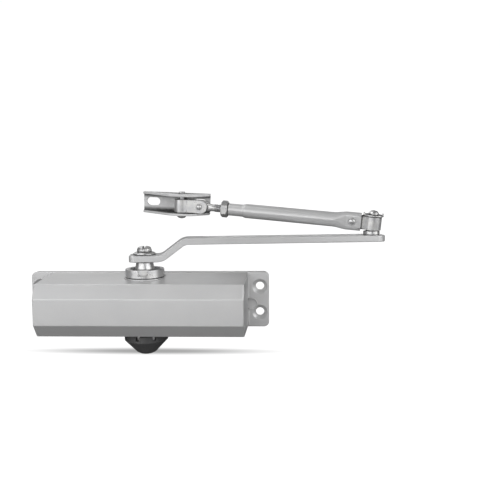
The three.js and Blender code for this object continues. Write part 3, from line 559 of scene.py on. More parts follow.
def ground_steel(name, packed=True, tone=0.5):
    """Ground steel under an oil film."""
    f = Finish(name, packed)
    lines = f.noise(3.5, 3.0, stretch=(0.12, 1, 1))
    film = f.noise(0.12, 4.0)
    base = f.mix(f.span(film, 0.35, 0.65), tint(tone, 0.8, 0.79, 0.76), tint(tone, 1, 1, 1.02))
    base = f.mix(f.span(lines, 0.4, 0.62, 0.0, 0.25), base, tint(tone, 1.25))
    rough = f.span(film, 0.3, 0.7, 0.16, 0.34)
    return f.finish(base, rough, [(lines, 0.008)], metallic=1.0, Coat_Weight=0.3)


def sintered_bronze(name):
    f = Finish(name, packed=True)
    pores = f.span(f.cells(2.4), 0.0, 0.2, 1.0, 0.0)
    cloud = f.noise(0.25, 4.0)
    base = f.mix(f.span(cloud, 0.3, 0.7), (0.42, 0.27, 0.12), (0.56, 0.39, 0.19))
    base = f.mix(f.times(pores, 0.7), base, (0.12, 0.08, 0.04))
    rough = f.span(cloud, 0.3, 0.7, 0.3, 0.46)
    return f.finish(base, rough, [(f.math("SUBTRACT", 1.0, pores), 0.03)], metallic=0.9)


def seal_rubber(name):
    f = Finish(name, packed=True)
    grain = f.noise(2.0, 4.0, 0.6)
    base = f.mix(f.span(grain, 0.3, 0.7), (0.012, 0.012, 0.013), (0.03, 0.03, 0.032))
    rough = f.span(f.noise(0.4, 3.0), 0.3, 0.7, 0.55, 0.75)
    return f.finish(base, rough, [(grain, 0.02)])


CAST = silver_paint("cast_silver_paint", 0.62, cast=True)
PAINT = silver_paint("arm_silver_paint", 0.63, rough=0.31)
PLATE_Z = plated("zinc_turned_z", "z")
PLATE_X = plated("zinc_turned_x", "x")
PLATE_Y = plated("zinc_turned_y", "y")
PLATE_STRAP = plated("zinc_pressed", tone=0.86, rough=0.26, stretch=(0.3, 1, 0.3), metallic=0.74)
STRIP = rolled_steel("rolled_strip")
PLASTIC = moulded_plastic("dark_plastic")
OILED = ground_steel("oiled_steel", packed=False)
OILED_CAD = ground_steel("oiled_steel_inner")
BRONZE = sintered_bronze("sintered_bronze")
RUBBER = seal_rubber("seal_rubber")

# ---- body

HALF_LENGTH, FRONT_HALF, DEPTH = 72.2, 70.6, 46.6
SECTION = [(-0.6, -20.18), (-40.4, -19.1, 1.3), (-46.56, -10.3, 1.2), (-46.1, 7.5, 2.5), (-42, 17.2, 1.5),
           (-0.6, 20.16)]
CAST_MARK = (74.6, -3.1)
PLATE = {"half_length": 87.2, "half_height": 20.2, "thick": 6.1, "corner": 3.75}
BORE_Y, BORE_Z = -22, -0.7
MIRRORED = 2 * BORE_Z
GAP = 0.3
HOLE_X, HOLE_Z, HOLE_R, SINK_R = 80.6, 9.5, 3.1, 5.5
BOSS_R, BOSS_TOP = 14.4, 18.9
SEAT_R, SEAT_FLOOR, SEAT_TOP = 9.3, 11.3, 15
VALVES = {"closing_valve": (-37.5, 11.3), "latching_valve": (-38, -12)}


def half_length_at(depth):
    """Half the block's length at a depth in front of the back face."""
    return HALF_LENGTH + (FRONT_HALF - HALF_LENGTH) * (depth / (DEPTH + 1))


def drafted_block():
    """The faceted front block, drafted towards the front, with rounded end edges."""
    outline = anticlockwise(fillet(SECTION, steps=6))
    edge = 0.9
    rings = []
    for side in (-1, 1):
        for a in quarter(5)[::-side]:
            back_off = edge * (1 - math.cos(a))
            ring = []
            for p in inset(outline, edge * (1 - math.sin(a))):
                ring.append((side * (half_length_at(-p.x) - back_off), p.x, p.y))
            rings.append(ring)
    return loft(rings)


def countersunk(x, z):
    """A screw hole's cutter, with the rim of its sink rounded."""
    front = -PLATE["thick"]
    sink = SINK_R - HOLE_R
    profile = [(0, 1), (HOLE_R, 1), (HOLE_R, front + sink, 0.3), (SINK_R, front - 0.01, 0.45),
               (SINK_R + 1.4, front - 0.01), (SINK_R + 1.4, front - 3), (0, front - 3)]
    return put(turned(shape(profile)), (x, 0, z), "y")


def spot(radius, depth, at, axis, rim=0.2):
    """A round pocket's cutter whose mouth is at the given point, with a rounded floor corner and rim."""
    profile = [(0, -depth), (radius, -depth, min(rim, depth / 2)), (radius, 0.01, rim), (radius + 1, 0.01),
               (radius + 1, 3), (0, 3)]
    return put(turned(shape(profile)), at, axis)


def housing():
    half_length, half_height, thick = PLATE["half_length"], PLATE["half_height"], PLATE["thick"]
    outline = rectangle(-half_length, half_length, -half_height, half_height, PLATE["corner"], 8)
    plate = prism(outline, -thick, 0, 0.6, "xz")
    beads = []
    for side in (-1, 1):
        end, root = half_length_at(thick), 1.3
        cove = arc(root, 90, 180, 6, (end + root, -thick - root))
        corners = [(end - 0.6, -thick + 0.5), (end + root, -thick + 0.5), *cove, (end - 0.6, -thick - root)]
        beads.append(prism([Vector((side * x, y)) for x, y in corners], -19.2, 19.0, 0.4))
    bosses = [put(bar(BOSS_R, 15, BOSS_TOP, edge=0.3), (0, SPINDLE_Y, 0)),
              put(bar(BOSS_R, 15, BOSS_TOP, edge=0.3), (0, SPINDLE_Y, MIRRORED), "-z")]
    body = join(drafted_block(), plate, *beads)
    clear = [put(bar(BOSS_R + GAP, BOSS_TOP, BOSS_TOP + 4), (0, SPINDLE_Y, 0)),
             put(bar(13, -HALF_LENGTH - 3, 54, 72), (0, BORE_Y, BORE_Z), "x"),
             put(bar(14.6, -HALF_LENGTH - 3, -58, 72), (0, BORE_Y, BORE_Z), "x"),
             spot(14.6, 2, (-FRONT_HALF - 1.05, BORE_Y, BORE_Z), "-x", 0.5)]
    body = join(body, *bosses)
    body = cut(body, *clear)
    axis_cuts = []
    for flip, base in (("z", 0), ("-z", MIRRORED)):
        at = (0, SPINDLE_Y, base)
        axis_cuts += [put(bar(8.7, 0.2, SEAT_TOP + 1), at, flip),
                      put(bar(SEAT_R, SEAT_FLOOR, SEAT_TOP + 1), at, flip),
                      put(bar(11.8, SEAT_TOP, BOSS_TOP + 4), at, flip)]
    body = cut(body, *axis_cuts)
    face_cuts = [countersunk(x, z) for x in (-HOLE_X, HOLE_X) for z in (-HOLE_Z, HOLE_Z)]
    for y, z in VALVES.values():
        face_cuts.append(spot(2.8, 17, (half_length_at(-y), y, z), "x", 0.4))
    mark_at = (CAST_MARK[0], -thick, CAST_MARK[1])
    face_cuts.append(spot(3.7, 0.4, mark_at, "-y", 0.15))
    body = cut(body, *face_cuts)
    rim = ring_shape([(3.65, -0.5), (4.3, -0.5), (4.3, 0.22, 0.2), (3.65, 0.22, 0.2)])
    return join(body, put(turned(rim), mark_at, "-y"))


def ring_nut():
    """Notched ring nut: threaded foot, floor with a hole for the spindle, open rim with two blind notches."""
    hole = 7.1
    outline = [(hole, -1.9, 0.2), (11.5, -1.9, 0.4), (11.5, 0, 0.1), (13.5, 0, 0.35), (13.5, 5.8, 0.6),
               (10.7, 5.8, 0.45), (10.7, 2.2, 0.5), (hole, 2.2, 0.25)]
    body = turned(ring_shape(outline), 120)
    notches = [put(block(-3.3, 3.3, -16, -11.9, 1.8, 8), spin=math.radians(5 + turn)) for turn in (0, 180)]
    return soften(cut(body, *notches), 0.3)


def end_plug():
    radius = 14.3
    profile = [(0, -70.3), (radius, -70.3, 0.8), (radius, -63.1, 0.1), (12.8, -63.1), (12.8, -60.9),
               (radius, -60.9, 0.1), (radius, -58.3, 0.3), (10, -58.3), (10, -58.9), (0, -58.9)]
    body = turned(shape(profile))
    socket = put(bar(5.8, -71.3, -64.3, 6), spin=math.radians(30))
    lead = bar(6.6, -71.3, -69.6, 6, top=5.4)
    return soften(cut(body, socket, put(lead, spin=math.radians(30))), 0.15)


def bottom_cap():
    """Snap-on cap: a slotted skirt over the lower ring nut, and a blunt cone under it."""
    outer, inner, top, skirt, bottom = 15.3, 13.8, -20.8, -25.4, -35.5
    profile = [(inner, top, 0.3), (outer, top, 0.4), (outer, skirt, 0.8), (6.9, bottom + 1.2, 1.6),
               (4.6, bottom, 0.8), (0.01, bottom), (0.01, bottom + 1.9), (4.4, bottom + 1.9, 0.5),
               (12.6, skirt - 1.3, 0.5), (inner, skirt - 1.3, 0.3)]
    shell = turned(ring_shape(profile), 128)
    slots = []
    for i in range(8):
        slot = prism(rectangle(-1.3, 1.3, skirt + 1.3, top + 2, 1.0, 4), 13, 17, plane="xz")
        slots.append(put(slot, spin=(i + 0.5) / 8 * 2 * math.pi - math.pi / 2 + 0.19))
    return soften(cut(shell, *slots), 0.22)


def valve_screw():
    profile = [(0, -14), (0.9, -14, 0.3), (1.9, -10.2, 0.2), (2.5, -9.6, 0.1), (2.5, 0, 0.4), (0, 0)]
    body = turned(shape(profile), 48)
    return soften(cut(body, block(-0.5, 0.5, -4, 4, -1.2, 1)), 0.1)


def coil_spring(radius=7.9, wire=1.4, turns=6, start=-56.9, end=-15.7):
    """The closing spring: a round wire swept along a helix, wound closer at both ends."""
    rings = []
    count = turns * 40
    for i in range(count + 1):
        t = i / count
        angle = t * turns * 2 * math.pi
        ease = t - math.sin(2 * math.pi * t) / (2 * math.pi) * 0.25
        centre = Vector((start + (end - start) * ease, radius * math.cos(angle), radius * math.sin(angle)))
        outward = Vector((0, math.cos(angle), math.sin(angle)))
        rings.append([centre + (outward * math.cos(a) + X * math.sin(a)) * wire for a in circle(16)])
    return loft(rings)


def above(z, flip=False):
    """A place on the spindle's axis; flipped for the parts at the lower end."""
    turn = Matrix.Rotation(math.pi, 4, "X") if flip else Matrix.Identity(4)
    return shift(0, SPINDLE_Y, z) @ turn


BORE_AT = shift(0, BORE_Y, BORE_Z)
RING_Z = BOSS_TOP + GAP
BODY_PIECES = [
    ("housing", housing, Matrix.Identity(4), CAST, "cast_silver"),
    ("top_ring_nut", ring_nut, above(RING_Z), PLATE_Z, "plated_steel"),
    ("bottom_ring_nut", ring_nut, above(MIRRORED - RING_Z, True), PLATE_Z, "plated_steel"),
    ("bottom_cap", bottom_cap, above(0), PLASTIC, "dark_plastic"),
    ("end_plug", end_plug, BORE_AT @ TURN_TO["x"], OILED, "inner_steel"),
    ("closing_spring", coil_spring, BORE_AT, OILED, "inner_steel"),
]
for name, make, at, finish, slot in BODY_PIECES:
    made = piece(name, make(), at, "body", finish)
    if name == "closing_spring":
        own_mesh(made)
for name, (y, z) in VALVES.items():
    at = shift(FRONT_HALF - 0.3, y, z) @ TURN_TO["x"]
    piece(name, valve_screw(), at, name, PLATE_Z)

# ---- spindle and main arm

ARM = {"length": 163.2, "tail": 10.4, "nose": 8.95, "half_width": 9.5, "thick": 4.6, "low": 32.3,
       "high": 44.1}
CRANK_START, CRANK_END = 12.2, 27.9
ARM_TOP = ARM["high"] + ARM["thick"] / 2
WASHER_Z = ARM["low"] + ARM["thick"] / 2 + GAP
SCREW_Z = WASHER_Z + 1.6 + GAP
NECK_BOTTOM, NECK_SHOULDER, NECK_TOP, SQUARE_TOP = 21.6, 25, 29.7, 34.3
NECK_R, NECK_TOP_R = 6.6, 5.9


def pinion_outline(tooth_turn, teeth=9, module=1.5, pressure=math.radians(25), addendum=1.2, dedendum=1.6):
    pitch_radius = teeth * module / 2
    base_radius = pitch_radius * math.cos(pressure)
    half_at_pitch = (math.pi * module / 2 - 0.5) / 2 / pitch_radius

    def involute(angle):
        return math.tan(angle) - angle

    def half_at(radius):
        angle = math.acos(min(1, base_radius / radius))
        return half_at_pitch + involute(pressure) - involute(angle)

    root, tip = pitch_radius - dedendum, pitch_radius + addendum
    flank = [root] + [base_radius + (tip - base_radius) * k / 6 for k in range(1, 7)]
    points = []
    for tooth in range(teeth):
        middle = tooth_turn + tooth / teeth * 2 * math.pi
        for side, radii in ((-1, flank), (1, flank[::-1])):
            for radius in radii:
                angle = middle + side * half_at(radius)
                points.append(Vector((radius * math.cos(angle), radius * math.sin(angle))))
    return points


def square_end(bottom, top):
    """A tapered square whose corners are turned round."""
    square = bar(6.2, bottom - 1, top, 4, top=6)
    envelope = [(0, bottom - 1), (5.8, bottom - 1), (5.8, bottom), (5.6, top, 0.5), (0, top)]
    return common(square, turned(shape(envelope)))


def spindle():
    low = MIRRORED - NECK_BOTTOM
    profile = [(0, low - 1), (6, low - 1, 0.3), (6, BORE_Z - 9.8, 0.5), (5.05, BORE_Z - 9.8),
               (5.05, BORE_Z + 9.8), (6, BORE_Z + 9.8, 0.5), (6, NECK_BOTTOM, 0.3),
               (NECK_R, NECK_BOTTOM, 0.3), (NECK_R, NECK_SHOULDER, 2), (NECK_TOP_R, NECK_TOP, 0.5),
               (0, NECK_TOP)]
    shaft = turned(shape(profile))
    tooth_turn = -math.pi / 2 - math.atan2(AT_ARM[1][0], AT_ARM[0][0])
    pinion = prism(pinion_outline(tooth_turn), BORE_Z - 10, BORE_Z + 10, 0.2)
    ends = [soften(square_end(NECK_TOP - 0.2, SQUARE_TOP), 0.25), soften(square_end(-low, -low + 7), 0.25)]
    ends[1].data.transform(TURN_TO["-z"])
    return cut(join(shaft, pinion, *ends), bar(3.3, SQUARE_TOP - 14, SQUARE_TOP + 1, 48))


def main_arm():
    """A flat strip with two bends, and ends rounded in plan."""
    thick, low, high = ARM["thick"], ARM["low"], ARM["high"]
    rise = math.atan2(high - low, CRANK_END - CRANK_START)
    setback = thick / 2 * math.tan(rise / 2)

    def edge(side):
        level = side * thick / 2
        return [(-ARM["tail"] - 3, low + level), (CRANK_START - side * setback, low + level, 10 - side * 2),
                (CRANK_END - side * setback, high + level, 10 + side * 2),
                (ARM["length"] + ARM["nose"] + 3, high + level)]

    strip = prism(fillet(edge(-1) + edge(1)[::-1], steps=10), -12, 12, plane="xz")
    tail, tip, half = -ARM["tail"], ARM["length"] + ARM["nose"], ARM["half_width"]
    plan = fillet([(tail, -half, 4.6), (tip, -half, 6.8), (tip, half, 6.8), (tail, half, 4.6)], steps=9)
    arm = common(strip, prism(plan, 20, 60))
    hole = put(block(-4.7, 4.7, -4.7, 4.7, low - 5, low + 5), spin=math.pi / 4)
    under = high - thick / 2
    pin_hole = put(bar(4.2, under - 2, ARM_TOP + 2), (ARM["length"], 0, 0))
    flare = put(bar(6.4, under - 0.4, under + 2.2, top=4.2), (ARM["length"], 0, 0))
    return soften(cut(arm, hole, pin_hole, flare), 0.55, segments=4)


def arm_washer():
    return turned(ring_shape([(3.4, 0), (7.8, 0, 0.2), (7.8, 0.75, 0.3), (6.7, 1.6, 0.4), (3.4, 1.6)]))


def arm_screw():
    """Pan-head screw with a slot right across its head and a short cross recess."""
    profile = [(0, -12), (3, -12, 0.6), (3, 0), (5.15, 0, 0.25), (5.15, 1.7, 0.8), (4.4, 3.1, 1.2),
               (2.6, 3.8, 1.5), (0, 3.9)]
    head = turned(shape(profile, 6))
    turn = math.radians(86)
    slot = put(block(-6, 6, -0.75, 0.75, 1.9, 5), spin=turn)
    trough = fillet([(-3.2, 4.2), (-2.3, 2.0, 0.3), (2.3, 2.0, 0.3), (3.2, 4.2)])
    recess = prism(trough, -0.62, 0.62, plane="xz")
    return soften(cut(head, slot, put(recess, spin=turn + math.pi / 2)), 0.16)


def elbow_spacer():
    return turned(ring_shape([(5.1, GAP), (5.9, GAP, 0.2), (5.9, 2.8, 0.35), (5.1, 2.8, 0.2)]))


SPINDLE_PIECES = [
    ("spindle", spindle, AT_ARM, PLATE_Z, "inner_steel"),
    ("main_arm", main_arm, AT_ARM, PAINT, "painted_steel"),
    ("arm_washer", arm_washer, above(WASHER_Z), PLATE_Z, "plated_steel"),
    ("arm_screw", arm_screw, AT_ARM @ shift(0, 0, SCREW_Z), PLATE_Z, "plated_steel"),
    ("elbow_spacer", elbow_spacer, AT_ARM @ shift(ARM["length"], 0, ARM_TOP), PLATE_Z, "plated_steel"),
]

# ---- elbow and forearm

ELBOW_RIVET_X, SHOE_RIVET_X = -14.9, 14.4


def cross_hole(radius, x, z=0.0, reach=5):
    """A hole's cutter along Y."""
    return put(bar(radius, -reach, reach, 48), (x, 0, z), "y")


def elbow_pin():
    """A flared foot under the arm, a collar inside the knuckle and a domed, upset head."""
    profile = [(0, -3.7), (4.2, -3.7, 0.2), (4.2, -3.3, 0.2), (3.4, -2.4, 0.4), (3.4, 0.95), (4.4, 0.95, 0.1),
               (4.4, 13.4, 0.1), (2.6, 13.4), (2.6, 15), (3.8, 15, 0.3), (3.7, 15.9, 0.8), (2.6, 17.3, 1.2),
               (0, 17.9)]
    return turned(shape(profile, 6))


def elbow_washer():
    """A dished washer with two tabs turned up on opposite sides."""
    disc = turned(ring_shape([(2.9, 13.75), (7.2, 13.7, 0.2), (7.2, 14.7, 0.3), (2.9, 14.7, 0.2)]))
    tabs = []
    for side in (-1, 1):
        near, far = sorted((side * 6.1, side * 7.2))
        tabs.append(prism(rectangle(near, far, -1.5, 1.5, 0.25), 14.1, 15.9, 0.2))
    return join(disc, *tabs)


def elbow_knuckle():
    """A strap wrapped round the elbow pin; its two legs lie together."""
    outer = [(-20.5, 1.45, 0.3), (-8.74, 1.45, 2.2), *arc(6.2, 125, -125, 72), (-8.74, -1.45, 2.2),
             (-20.5, -1.45, 0.3)]
    inner = [(-20.5, -0.05), (-8.12, -0.05, 0.7), *arc(4.7, -125, 125, 60), (-8.12, 0.05, 0.7),
             (-20.5, 0.05)]
    strap = prism(fillet(outer + inner), AXIS_HEIGHT - 4.75, AXIS_HEIGHT + 4.75, 0.3)
    return cut(strap, cross_hole(2.2, ELBOW_RIVET_X, AXIS_HEIGHT))


def pressed_ring(x, flat, radius, half_thick, straight, steps=16):
    """One section of a round tube that is pressed flat: two half circles joined by straight sides."""
    reach = radius + (half_thick - radius) * flat
    lift = flat * straight
    ring = []
    for upper in (1, -1):
        for k in range(steps + 1):
            a = math.pi * k / steps * upper if upper > 0 else math.pi + math.pi * k / steps
            ring.append((x, reach * math.cos(a), reach * math.sin(a) + upper * lift))
    return ring


def smooth(t):
    t = max(0.0, min(1.0, t))
    return t * t * (3 - 2 * t)


TUBE_R, TUBE_NECK, TUBE_START, TUBE_END = 5.35, 4.6, -8.3, -107
# Where the swaging and the pressing begin, and how far each runs along the tube.
SWAGE_X, SWAGE_RUN, PRESS_X, PRESS_RUN = -96.4, 2.8, -29, 10


def forearm_tube():
    """Round tube, swaged down at one end and pressed flat at the other."""
    def rings(wall, low, high, half_thick, straight, rim):
        radii = [(low, TUBE_NECK - wall - rim)] + ([(low + rim, TUBE_NECK - wall)] if rim else [])
        for k in range(7):
            swaged = TUBE_NECK - wall + (TUBE_R - TUBE_NECK) * smooth(k / 6)
            radii.append((SWAGE_X + SWAGE_RUN * k / 6, swaged))
        swage_end = SWAGE_X + SWAGE_RUN
        radii += [(swage_end + (PRESS_X - swage_end) * k / 8, TUBE_R - wall) for k in range(1, 9)]
        made = [pressed_ring(x, 0, radius, half_thick, straight) for x, radius in radii]
        for k in range(1, 19):
            flat = smooth(k / 18) ** 0.5 * (k / 18) ** 0.8
            made.append(pressed_ring(PRESS_X + PRESS_RUN * k / 18, flat, TUBE_R - wall, half_thick, straight))
        if rim:
            made.append(pressed_ring(high - rim, 1, TUBE_R - wall, half_thick, straight))
        made.append(pressed_ring(high, 1, TUBE_R - wall, half_thick - rim, straight))
        return made

    outside = loft(rings(0, TUBE_END, TUBE_START, 3.1, 3.55, 0.3))
    inside = loft(rings(1.3, TUBE_END - 1, -18.8, 1.75, 3.3, 0))
    slot = block(-22, TUBE_START + 1, -1.75, 1.75, -5.05, 5.05)
    return cut(outside, inside, slot, cross_hole(2.2, ELBOW_RIVET_X, reach=8))


def dome(radius, height, base, steps=8):
    """The last part of a turning profile: a low round head."""
    turns = [math.pi / 2 * k / steps for k in range(steps + 1)]
    return [(radius * math.cos(a), base + height * math.sin(a)) for a in turns[:-1]] + [(0, base + height)]


def rivet(shank, head, head_height, half_grip):
    """A shank with a low round head at both ends, along Y."""
    upper = [(shank, half_grip), (head - 0.1, half_grip), (head, half_grip + 0.12)]
    upper += [(r, z + 0.12) for r, z in dome(head, head_height - 0.12, half_grip)[1:]]
    lower = [(r, -z) for r, z in reversed(upper)]
    return put(turned(lower + upper), axis="y")


def elbow_rivet():
    return rivet(1.9, 2.5, 1.3, 3.4)


ROD_R, THREAD_DEPTH, PITCH = 3.0, 0.42, 1.0


def threaded_bar(low, high, radius, depth, pitch, around=40, per_pitch=8):
    """A bar along X with a real screw thread, run out to the root at both ends."""
    root = radius - depth

    def end(x, tip):
        return [(x, tip * math.cos(a), tip * math.sin(a)) for a in circle(around)]

    rings = [end(low - 0.4, root - 0.4)]
    count = round((high - low) / pitch * per_pitch)
    for i in range(count + 1):
        x = low + (high - low) * i / count
        fade = smooth((x - low) / pitch) * smooth((high - x) / pitch)
        ring = []
        for k, a in enumerate(circle(around)):
            wave = abs((x / pitch - k / around) % 1 * 2 - 1)
            r = root + depth * smooth(wave * 1.25 - 0.1) * fade
            ring.append((x, r * math.cos(a), r * math.sin(a)))
        rings.append(ring)
    return loft(rings + [end(high + 0.5, root - 0.5)])


ROD_START, ROD_END, EYE_X, NUT_X = -122, -72, -129.5, -112.4


def forearm_rod():
    """Threaded rod whose end is forged into a flat eye."""
    shaft = threaded_bar(ROD_START + 3.5, ROD_END - 0.5, ROD_R, THREAD_DEPTH, PITCH)
    forged = []
    for k in range(13):
        t = k / 12
        forged.append(pressed_ring(ROD_START - 3 + 7.2 * t, 1 - smooth(t), ROD_R - 0.35, 1.5, 1.6, 10))
    eye = prism([Vector(p) for p in arc(4.5, 0, 354, 59, (EYE_X, 0))], -1.5, 1.5, 0.35, "xz")
    rod = join(shaft, loft(forged), eye)
    return cut(rod, cross_hole(1.9, EYE_X, reach=3))


def lock_nut():
    """Hexagon nut, chamfered on both faces, with the thread's mouth countersunk."""
    corner, thick = 6.5, 5
    flat = corner * math.cos(math.pi / 6)
    hexagon = bar(corner, 0, thick, 6)
    envelope = [(0, 0), (flat - 0.1, 0), (corner + 0.05, 0.9), (corner + 0.05, thick - 0.9),
                (flat - 0.1, thick), (0, thick)]
    nut = common(hexagon, turned(envelope))
    hole = [(0, -1), (ROD_R + 1.2, -1), (ROD_R + 0.2, 0.5), (ROD_R + 0.2, thick - 0.5),
            (ROD_R + 1.2, thick + 1), (0, thick + 1)]
    return soften(cut(nut, turned(hole)), 0.14, angle=24)


FOREARM_PIECES = [
    ("elbow_pin", elbow_pin, AT_FOREARM, "main_arm", PLATE_Z, "plated_steel"),
    ("elbow_washer", elbow_washer, AT_FOREARM, "main_arm", PLATE_Z, "plated_steel"),
    ("elbow_knuckle", elbow_knuckle, AT_FOREARM, "forearm", PLATE_STRAP, "plated_steel"),
    ("forearm_tube", forearm_tube, AT_TUBE, "forearm", PAINT, "painted_steel"),
    ("elbow_rivet", elbow_rivet, AT_TUBE @ shift(ELBOW_RIVET_X, 0, 0), "forearm", PLATE_Y, "plated_steel"),
    ("forearm_rod", forearm_rod, AT_TUBE, "rod", PLATE_X, "plated_steel"),
    ("lock_nut", lock_nut, AT_TUBE @ shift(NUT_X, 0, 0) @ TURN_TO["x"], "rod", PLATE_Z, "plated_steel"),
]

# ---- shoe

KNUCKLE_HALF, LEG_IN, LEG_OUT, LEG_END = 4.95, 1.8, 3.4, 20.5


def shoe_knuckle():
    """A strap wrapped round the shoe pin's bush, with two round-ended legs apart for the rod's eye."""
    half, end = KNUCKLE_HALF, LEG_END + 1
    outer = [(end, LEG_OUT), (4.66, LEG_OUT, 1.5), *arc(5.6, 50, 310, 72), (4.66, -LEG_OUT, 1.5),
             (end, -LEG_OUT)]
    inner = [(end, -LEG_IN), (4.08, -LEG_IN, 0.5), *arc(4.0, 310, 50, 60), (4.08, LEG_IN, 0.5), (end, LEG_IN)]
    strap = prism(fillet(outer + inner), -half, half)
    nose = LEG_END - half
    side = [(-7, -half - 1), (nose, -half - 1), (nose, -half), *arc(half, -88, 88, 40, (nose, 0)),
            (nose, half), (nose, half + 1), (-7, half + 1)]
    strap = common(strap, prism(side, -8, 8, plane="xz"))
    strap = soften(cut(strap, cross_hole(1.9, SHOE_RIVET_X)), 0.28)
    rim = [(2.5, -half, 0.2), (3.95, -half, 0.3), (3.95, half, 0.3), (2.5, half, 0.2)]
    bush = raw(turned(ring_shape(rim)))
    return merged(strap, bush)


def merged(*things):
    """Several raw objects as one, without joining their surfaces."""
    bm = bmesh.new()
    for thing in things:
        bm.from_mesh(thing.data)
        bpy.data.objects.remove(thing)
    return bm


def shoe_rivet():
    return rivet(1.6, 2.1, 1.1, LEG_OUT + GAP)


def shoe_bracket():
    """U channel folded from sheet, whose lugs taper in plan, with a slot at each side of the pin."""
    left, right, back, front, top, bottom, sheet = BRACKET.values()
    section = fillet([(front - 1, top), (back, top, 2.6), (back, bottom, 2.6), (front - 1, bottom),
                      (front - 1, bottom + sheet), (back - sheet, bottom + sheet, 0.7),
                      (back - sheet, top - sheet, 0.7), (front - 1, top - sheet)], steps=7)
    plan = fillet([(left, back + 1), (left, 5.2, 1.2), (-8, front, 5), (8, front, 5), (right, 3.4, 1.2),
                   (right, back + 1)], steps=7)
    channel = common(prism(section, left - 1, right + 1, plane="yz"), prism(plan, bottom - 1, top + 1))
    slots = []
    for x in (-23.5, 13):
        outline = rectangle(x - 5.1, x + 5.1, 1.5 - 3.1, 1.5 + 3.1, 3.09, 12)
        slots.append(prism(outline, back - sheet - 2, back + 1, plane="xz"))
    hole = bar(2.3, bottom - 1, top + 1, 64)
    return soften(cut(channel, *slots, hole), 0.25)


def shoe_pin():
    """A domed head below, a plain shank and a small upset head above."""
    low, high = BRACKET["bottom"] - GAP, BRACKET["top"] + GAP
    head = [(r, low - (z - low)) for r, z in dome(3.8, 2.5, low)][::-1]
    profile = head + [(3.8, low), (2, low), (2, high), (2.35, high + 0.05), (2.4, high + 0.9),
                      (2.0, high + 1.2), (0, high + 1.2)]
    return turned([p for i, p in enumerate(profile) if i == 0 or p != profile[i - 1]])


SHOE_PIECES = [
    ("shoe_knuckle", shoe_knuckle, AT_KNUCKLE, "shoe_knuckle", PLATE_STRAP, "plated_steel"),
    ("shoe_rivet", shoe_rivet, AT_KNUCKLE @ shift(SHOE_RIVET_X, 0, 0), "shoe_knuckle", PLATE_Y,
     "plated_steel"),
    ("shoe_bracket", shoe_bracket, AT_SHOE, "shoe", STRIP, "bracket_steel"),
    ("shoe_pin", shoe_pin, AT_SHOE, "shoe", PLATE_Z, "plated_steel"),
]

for name, make, at, finish, slot in SPINDLE_PIECES:
    piece(name, make(), at, "main_arm", finish)
for name, make, at, body, finish, slot in FOREARM_PIECES + SHOE_PIECES:
    piece(name, make(), at, body, finish)

INNER = {
    "top_bearing": BRONZE, "bottom_bearing": BRONZE, "top_seal": RUBBER, "bottom_seal": RUBBER,
    "end_plug_seal": RUBBER, "piston_seal": RUBBER, "piston": OILED_CAD, "check_ball": OILED_CAD,
    "check_plug": OILED_CAD,
}
for name, finish in INNER.items():
    for material_slot in frame["nodes"][name].material_slots:
        material_slot.material = finish

# ---- stage, light and camera


FLOOR_WHITE, SHADOW_WHITE, FLOOR_HALF = 1.1, 0.4, 6
# Where the painted shadow's middle lies and how far it spreads, in millimetres along X and Y.
SHADOW_CENTRE, SHADOW_REACH = (4, -17.5), (118, 12.5)
LIGHT_DISTANCE = 1.2


def stage():
    """A wide white floor under the cap, with a painted soft shadow. It is clear from below."""
    low, reach = CAD_BOX[0].z, FLOOR_HALF
    mesh = bpy.data.meshes.new("floor")
    corners = [(-reach, -reach, low), (reach, -reach, low), (reach, reach, low), (-reach, reach, low)]
    mesh.from_pydata(corners, [], [(0, 1, 2, 3)])
    floor = placed("floor", mesh)
    f = Finish("floor", packed=True)
    f.tree.nodes.remove(f.shader)
    off_centre = f.vector("SUBTRACT", f.place, (*SHADOW_CENTRE, low / MM))
    out_of_shadow = f.vector("LENGTH", f.vector("DIVIDE", off_centre, (*SHADOW_REACH, 1 / MM)))
    # Painted shadow: the floor's glow dims towards the middle of an ellipse under the body.
    white = f.span(out_of_shadow, 0.12, 1.0, SHADOW_WHITE, FLOOR_WHITE, "SMOOTHSTEP")
    glow = f.node("ShaderNodeEmission", {"Strength": white}).outputs[0]
    clear = f.node("ShaderNodeBsdfTransparent").outputs[0]
    below = f.node("ShaderNodeNewGeometry").outputs["Backfacing"]
    seen = f.node("ShaderNodeMixShader", {0: below, 1: glow, 2: clear}).outputs[0]
    out = next(n for n in f.tree.nodes if n.type == "OUTPUT_MATERIAL")
    f.link(seen, out.inputs["Surface"])
    mesh.materials.append(f.material)
    floor.visible_diffuse = False
    floor.visible_glossy = False


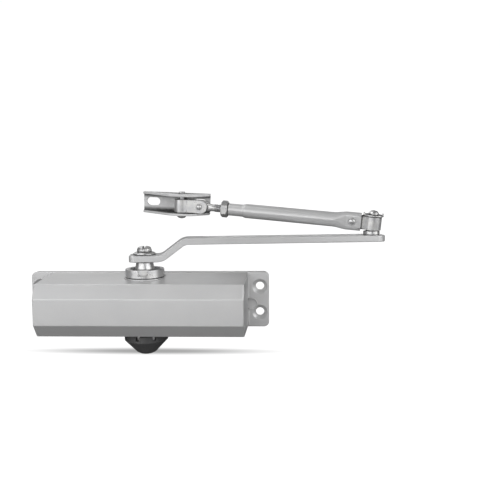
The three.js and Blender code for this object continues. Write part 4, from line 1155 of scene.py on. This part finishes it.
def softbox(name, azimuth, elevation, size, power, height=None, mirrored=True):
    """A rectangular light aimed at the object. Azimuth 0 is in front, 90 to the right."""
    centre = (CAD_BOX[0] + CAD_BOX[1]) / 2
    a, e = math.radians(azimuth), math.radians(elevation)
    away = Vector((math.sin(a) * math.cos(e), -math.cos(a) * math.cos(e), math.sin(e)))
    data = bpy.data.lights.new(name, "AREA")
    data.shape = "RECTANGLE"
    data.size = size
    data.size_y = size if height is None else height
    data.energy = power
    lamp = placed(name, data)
    lamp.location = centre + away * LIGHT_DISTANCE
    lamp.rotation_mode = "QUATERNION"
    lamp.rotation_quaternion = away.to_track_quat("Z", "Y")
    lamp.visible_camera = False
    lamp.visible_glossy = mirrored


def surroundings(bright, dim):
    """White behind the object, and an even grey studio in its reflections."""
    world = bpy.data.worlds.new("studio")
    bpy.context.scene.world = world
    world.use_nodes = True
    tree = world.node_tree
    tree.nodes.clear()
    ray = tree.nodes.new("ShaderNodeLightPath")
    mix = tree.nodes.new("ShaderNodeMixShader")
    out = tree.nodes.new("ShaderNodeOutputWorld")
    for i, value in ((1, dim), (2, bright)):
        background = tree.nodes.new("ShaderNodeBackground")
        background.inputs[0].default_value = (value, value, value, 1)
        tree.links.new(background.outputs[0], mix.inputs[i])
    tree.links.new(ray.outputs["Is Camera Ray"], mix.inputs[0])
    tree.links.new(mix.outputs[0], out.inputs[0])


def camera():
    data = bpy.data.cameras.new("camera")
    data.lens = 40.32
    data.sensor_width = 36
    data.clip_start, data.clip_end = 0.01, 20
    made = placed("camera", data)
    made.location = (0.0876, -0.4076, 0.0789)
    pitch, yaw, roll = 0.106, 0.035, -0.006
    forward = Vector((-math.sin(yaw) * math.cos(pitch), math.cos(yaw) * math.cos(pitch), -math.sin(pitch)))
    right = Vector((math.cos(yaw), math.sin(yaw), 0))
    up = right.cross(forward)
    rolled_right = math.cos(roll) * right + math.sin(roll) * up
    rolled_up = -math.sin(roll) * right + math.cos(roll) * up
    made.rotation_mode = "QUATERNION"
    made.rotation_quaternion = Matrix((rolled_right, rolled_up, -forward)).transposed().to_quaternion()
    bpy.context.scene.camera = made


stage()
surroundings(1.02, 0.1)
softbox("left_strip", -43, 10, 1.15, 4.4, 0.8)
softbox("right_strip", 53, 12, 1.25, 5.2, 0.8)
softbox("right_key", 72, 30, 0.45, 1.5)
softbox("front_strip", -6, 3, 0.45, 1.05, 0.32)
softbox("front_fill", 0, 24, 1.0, 7, mirrored=False)
softbox("top_box", -75, 64, 0.7, 2.8)
softbox("back_strip", 167, 5, 0.85, 0.85, 0.1)
softbox("back_box", -154, 36, 0.9, 2.4)
camera()
bpy.context.scene.view_settings.view_transform = "Standard"
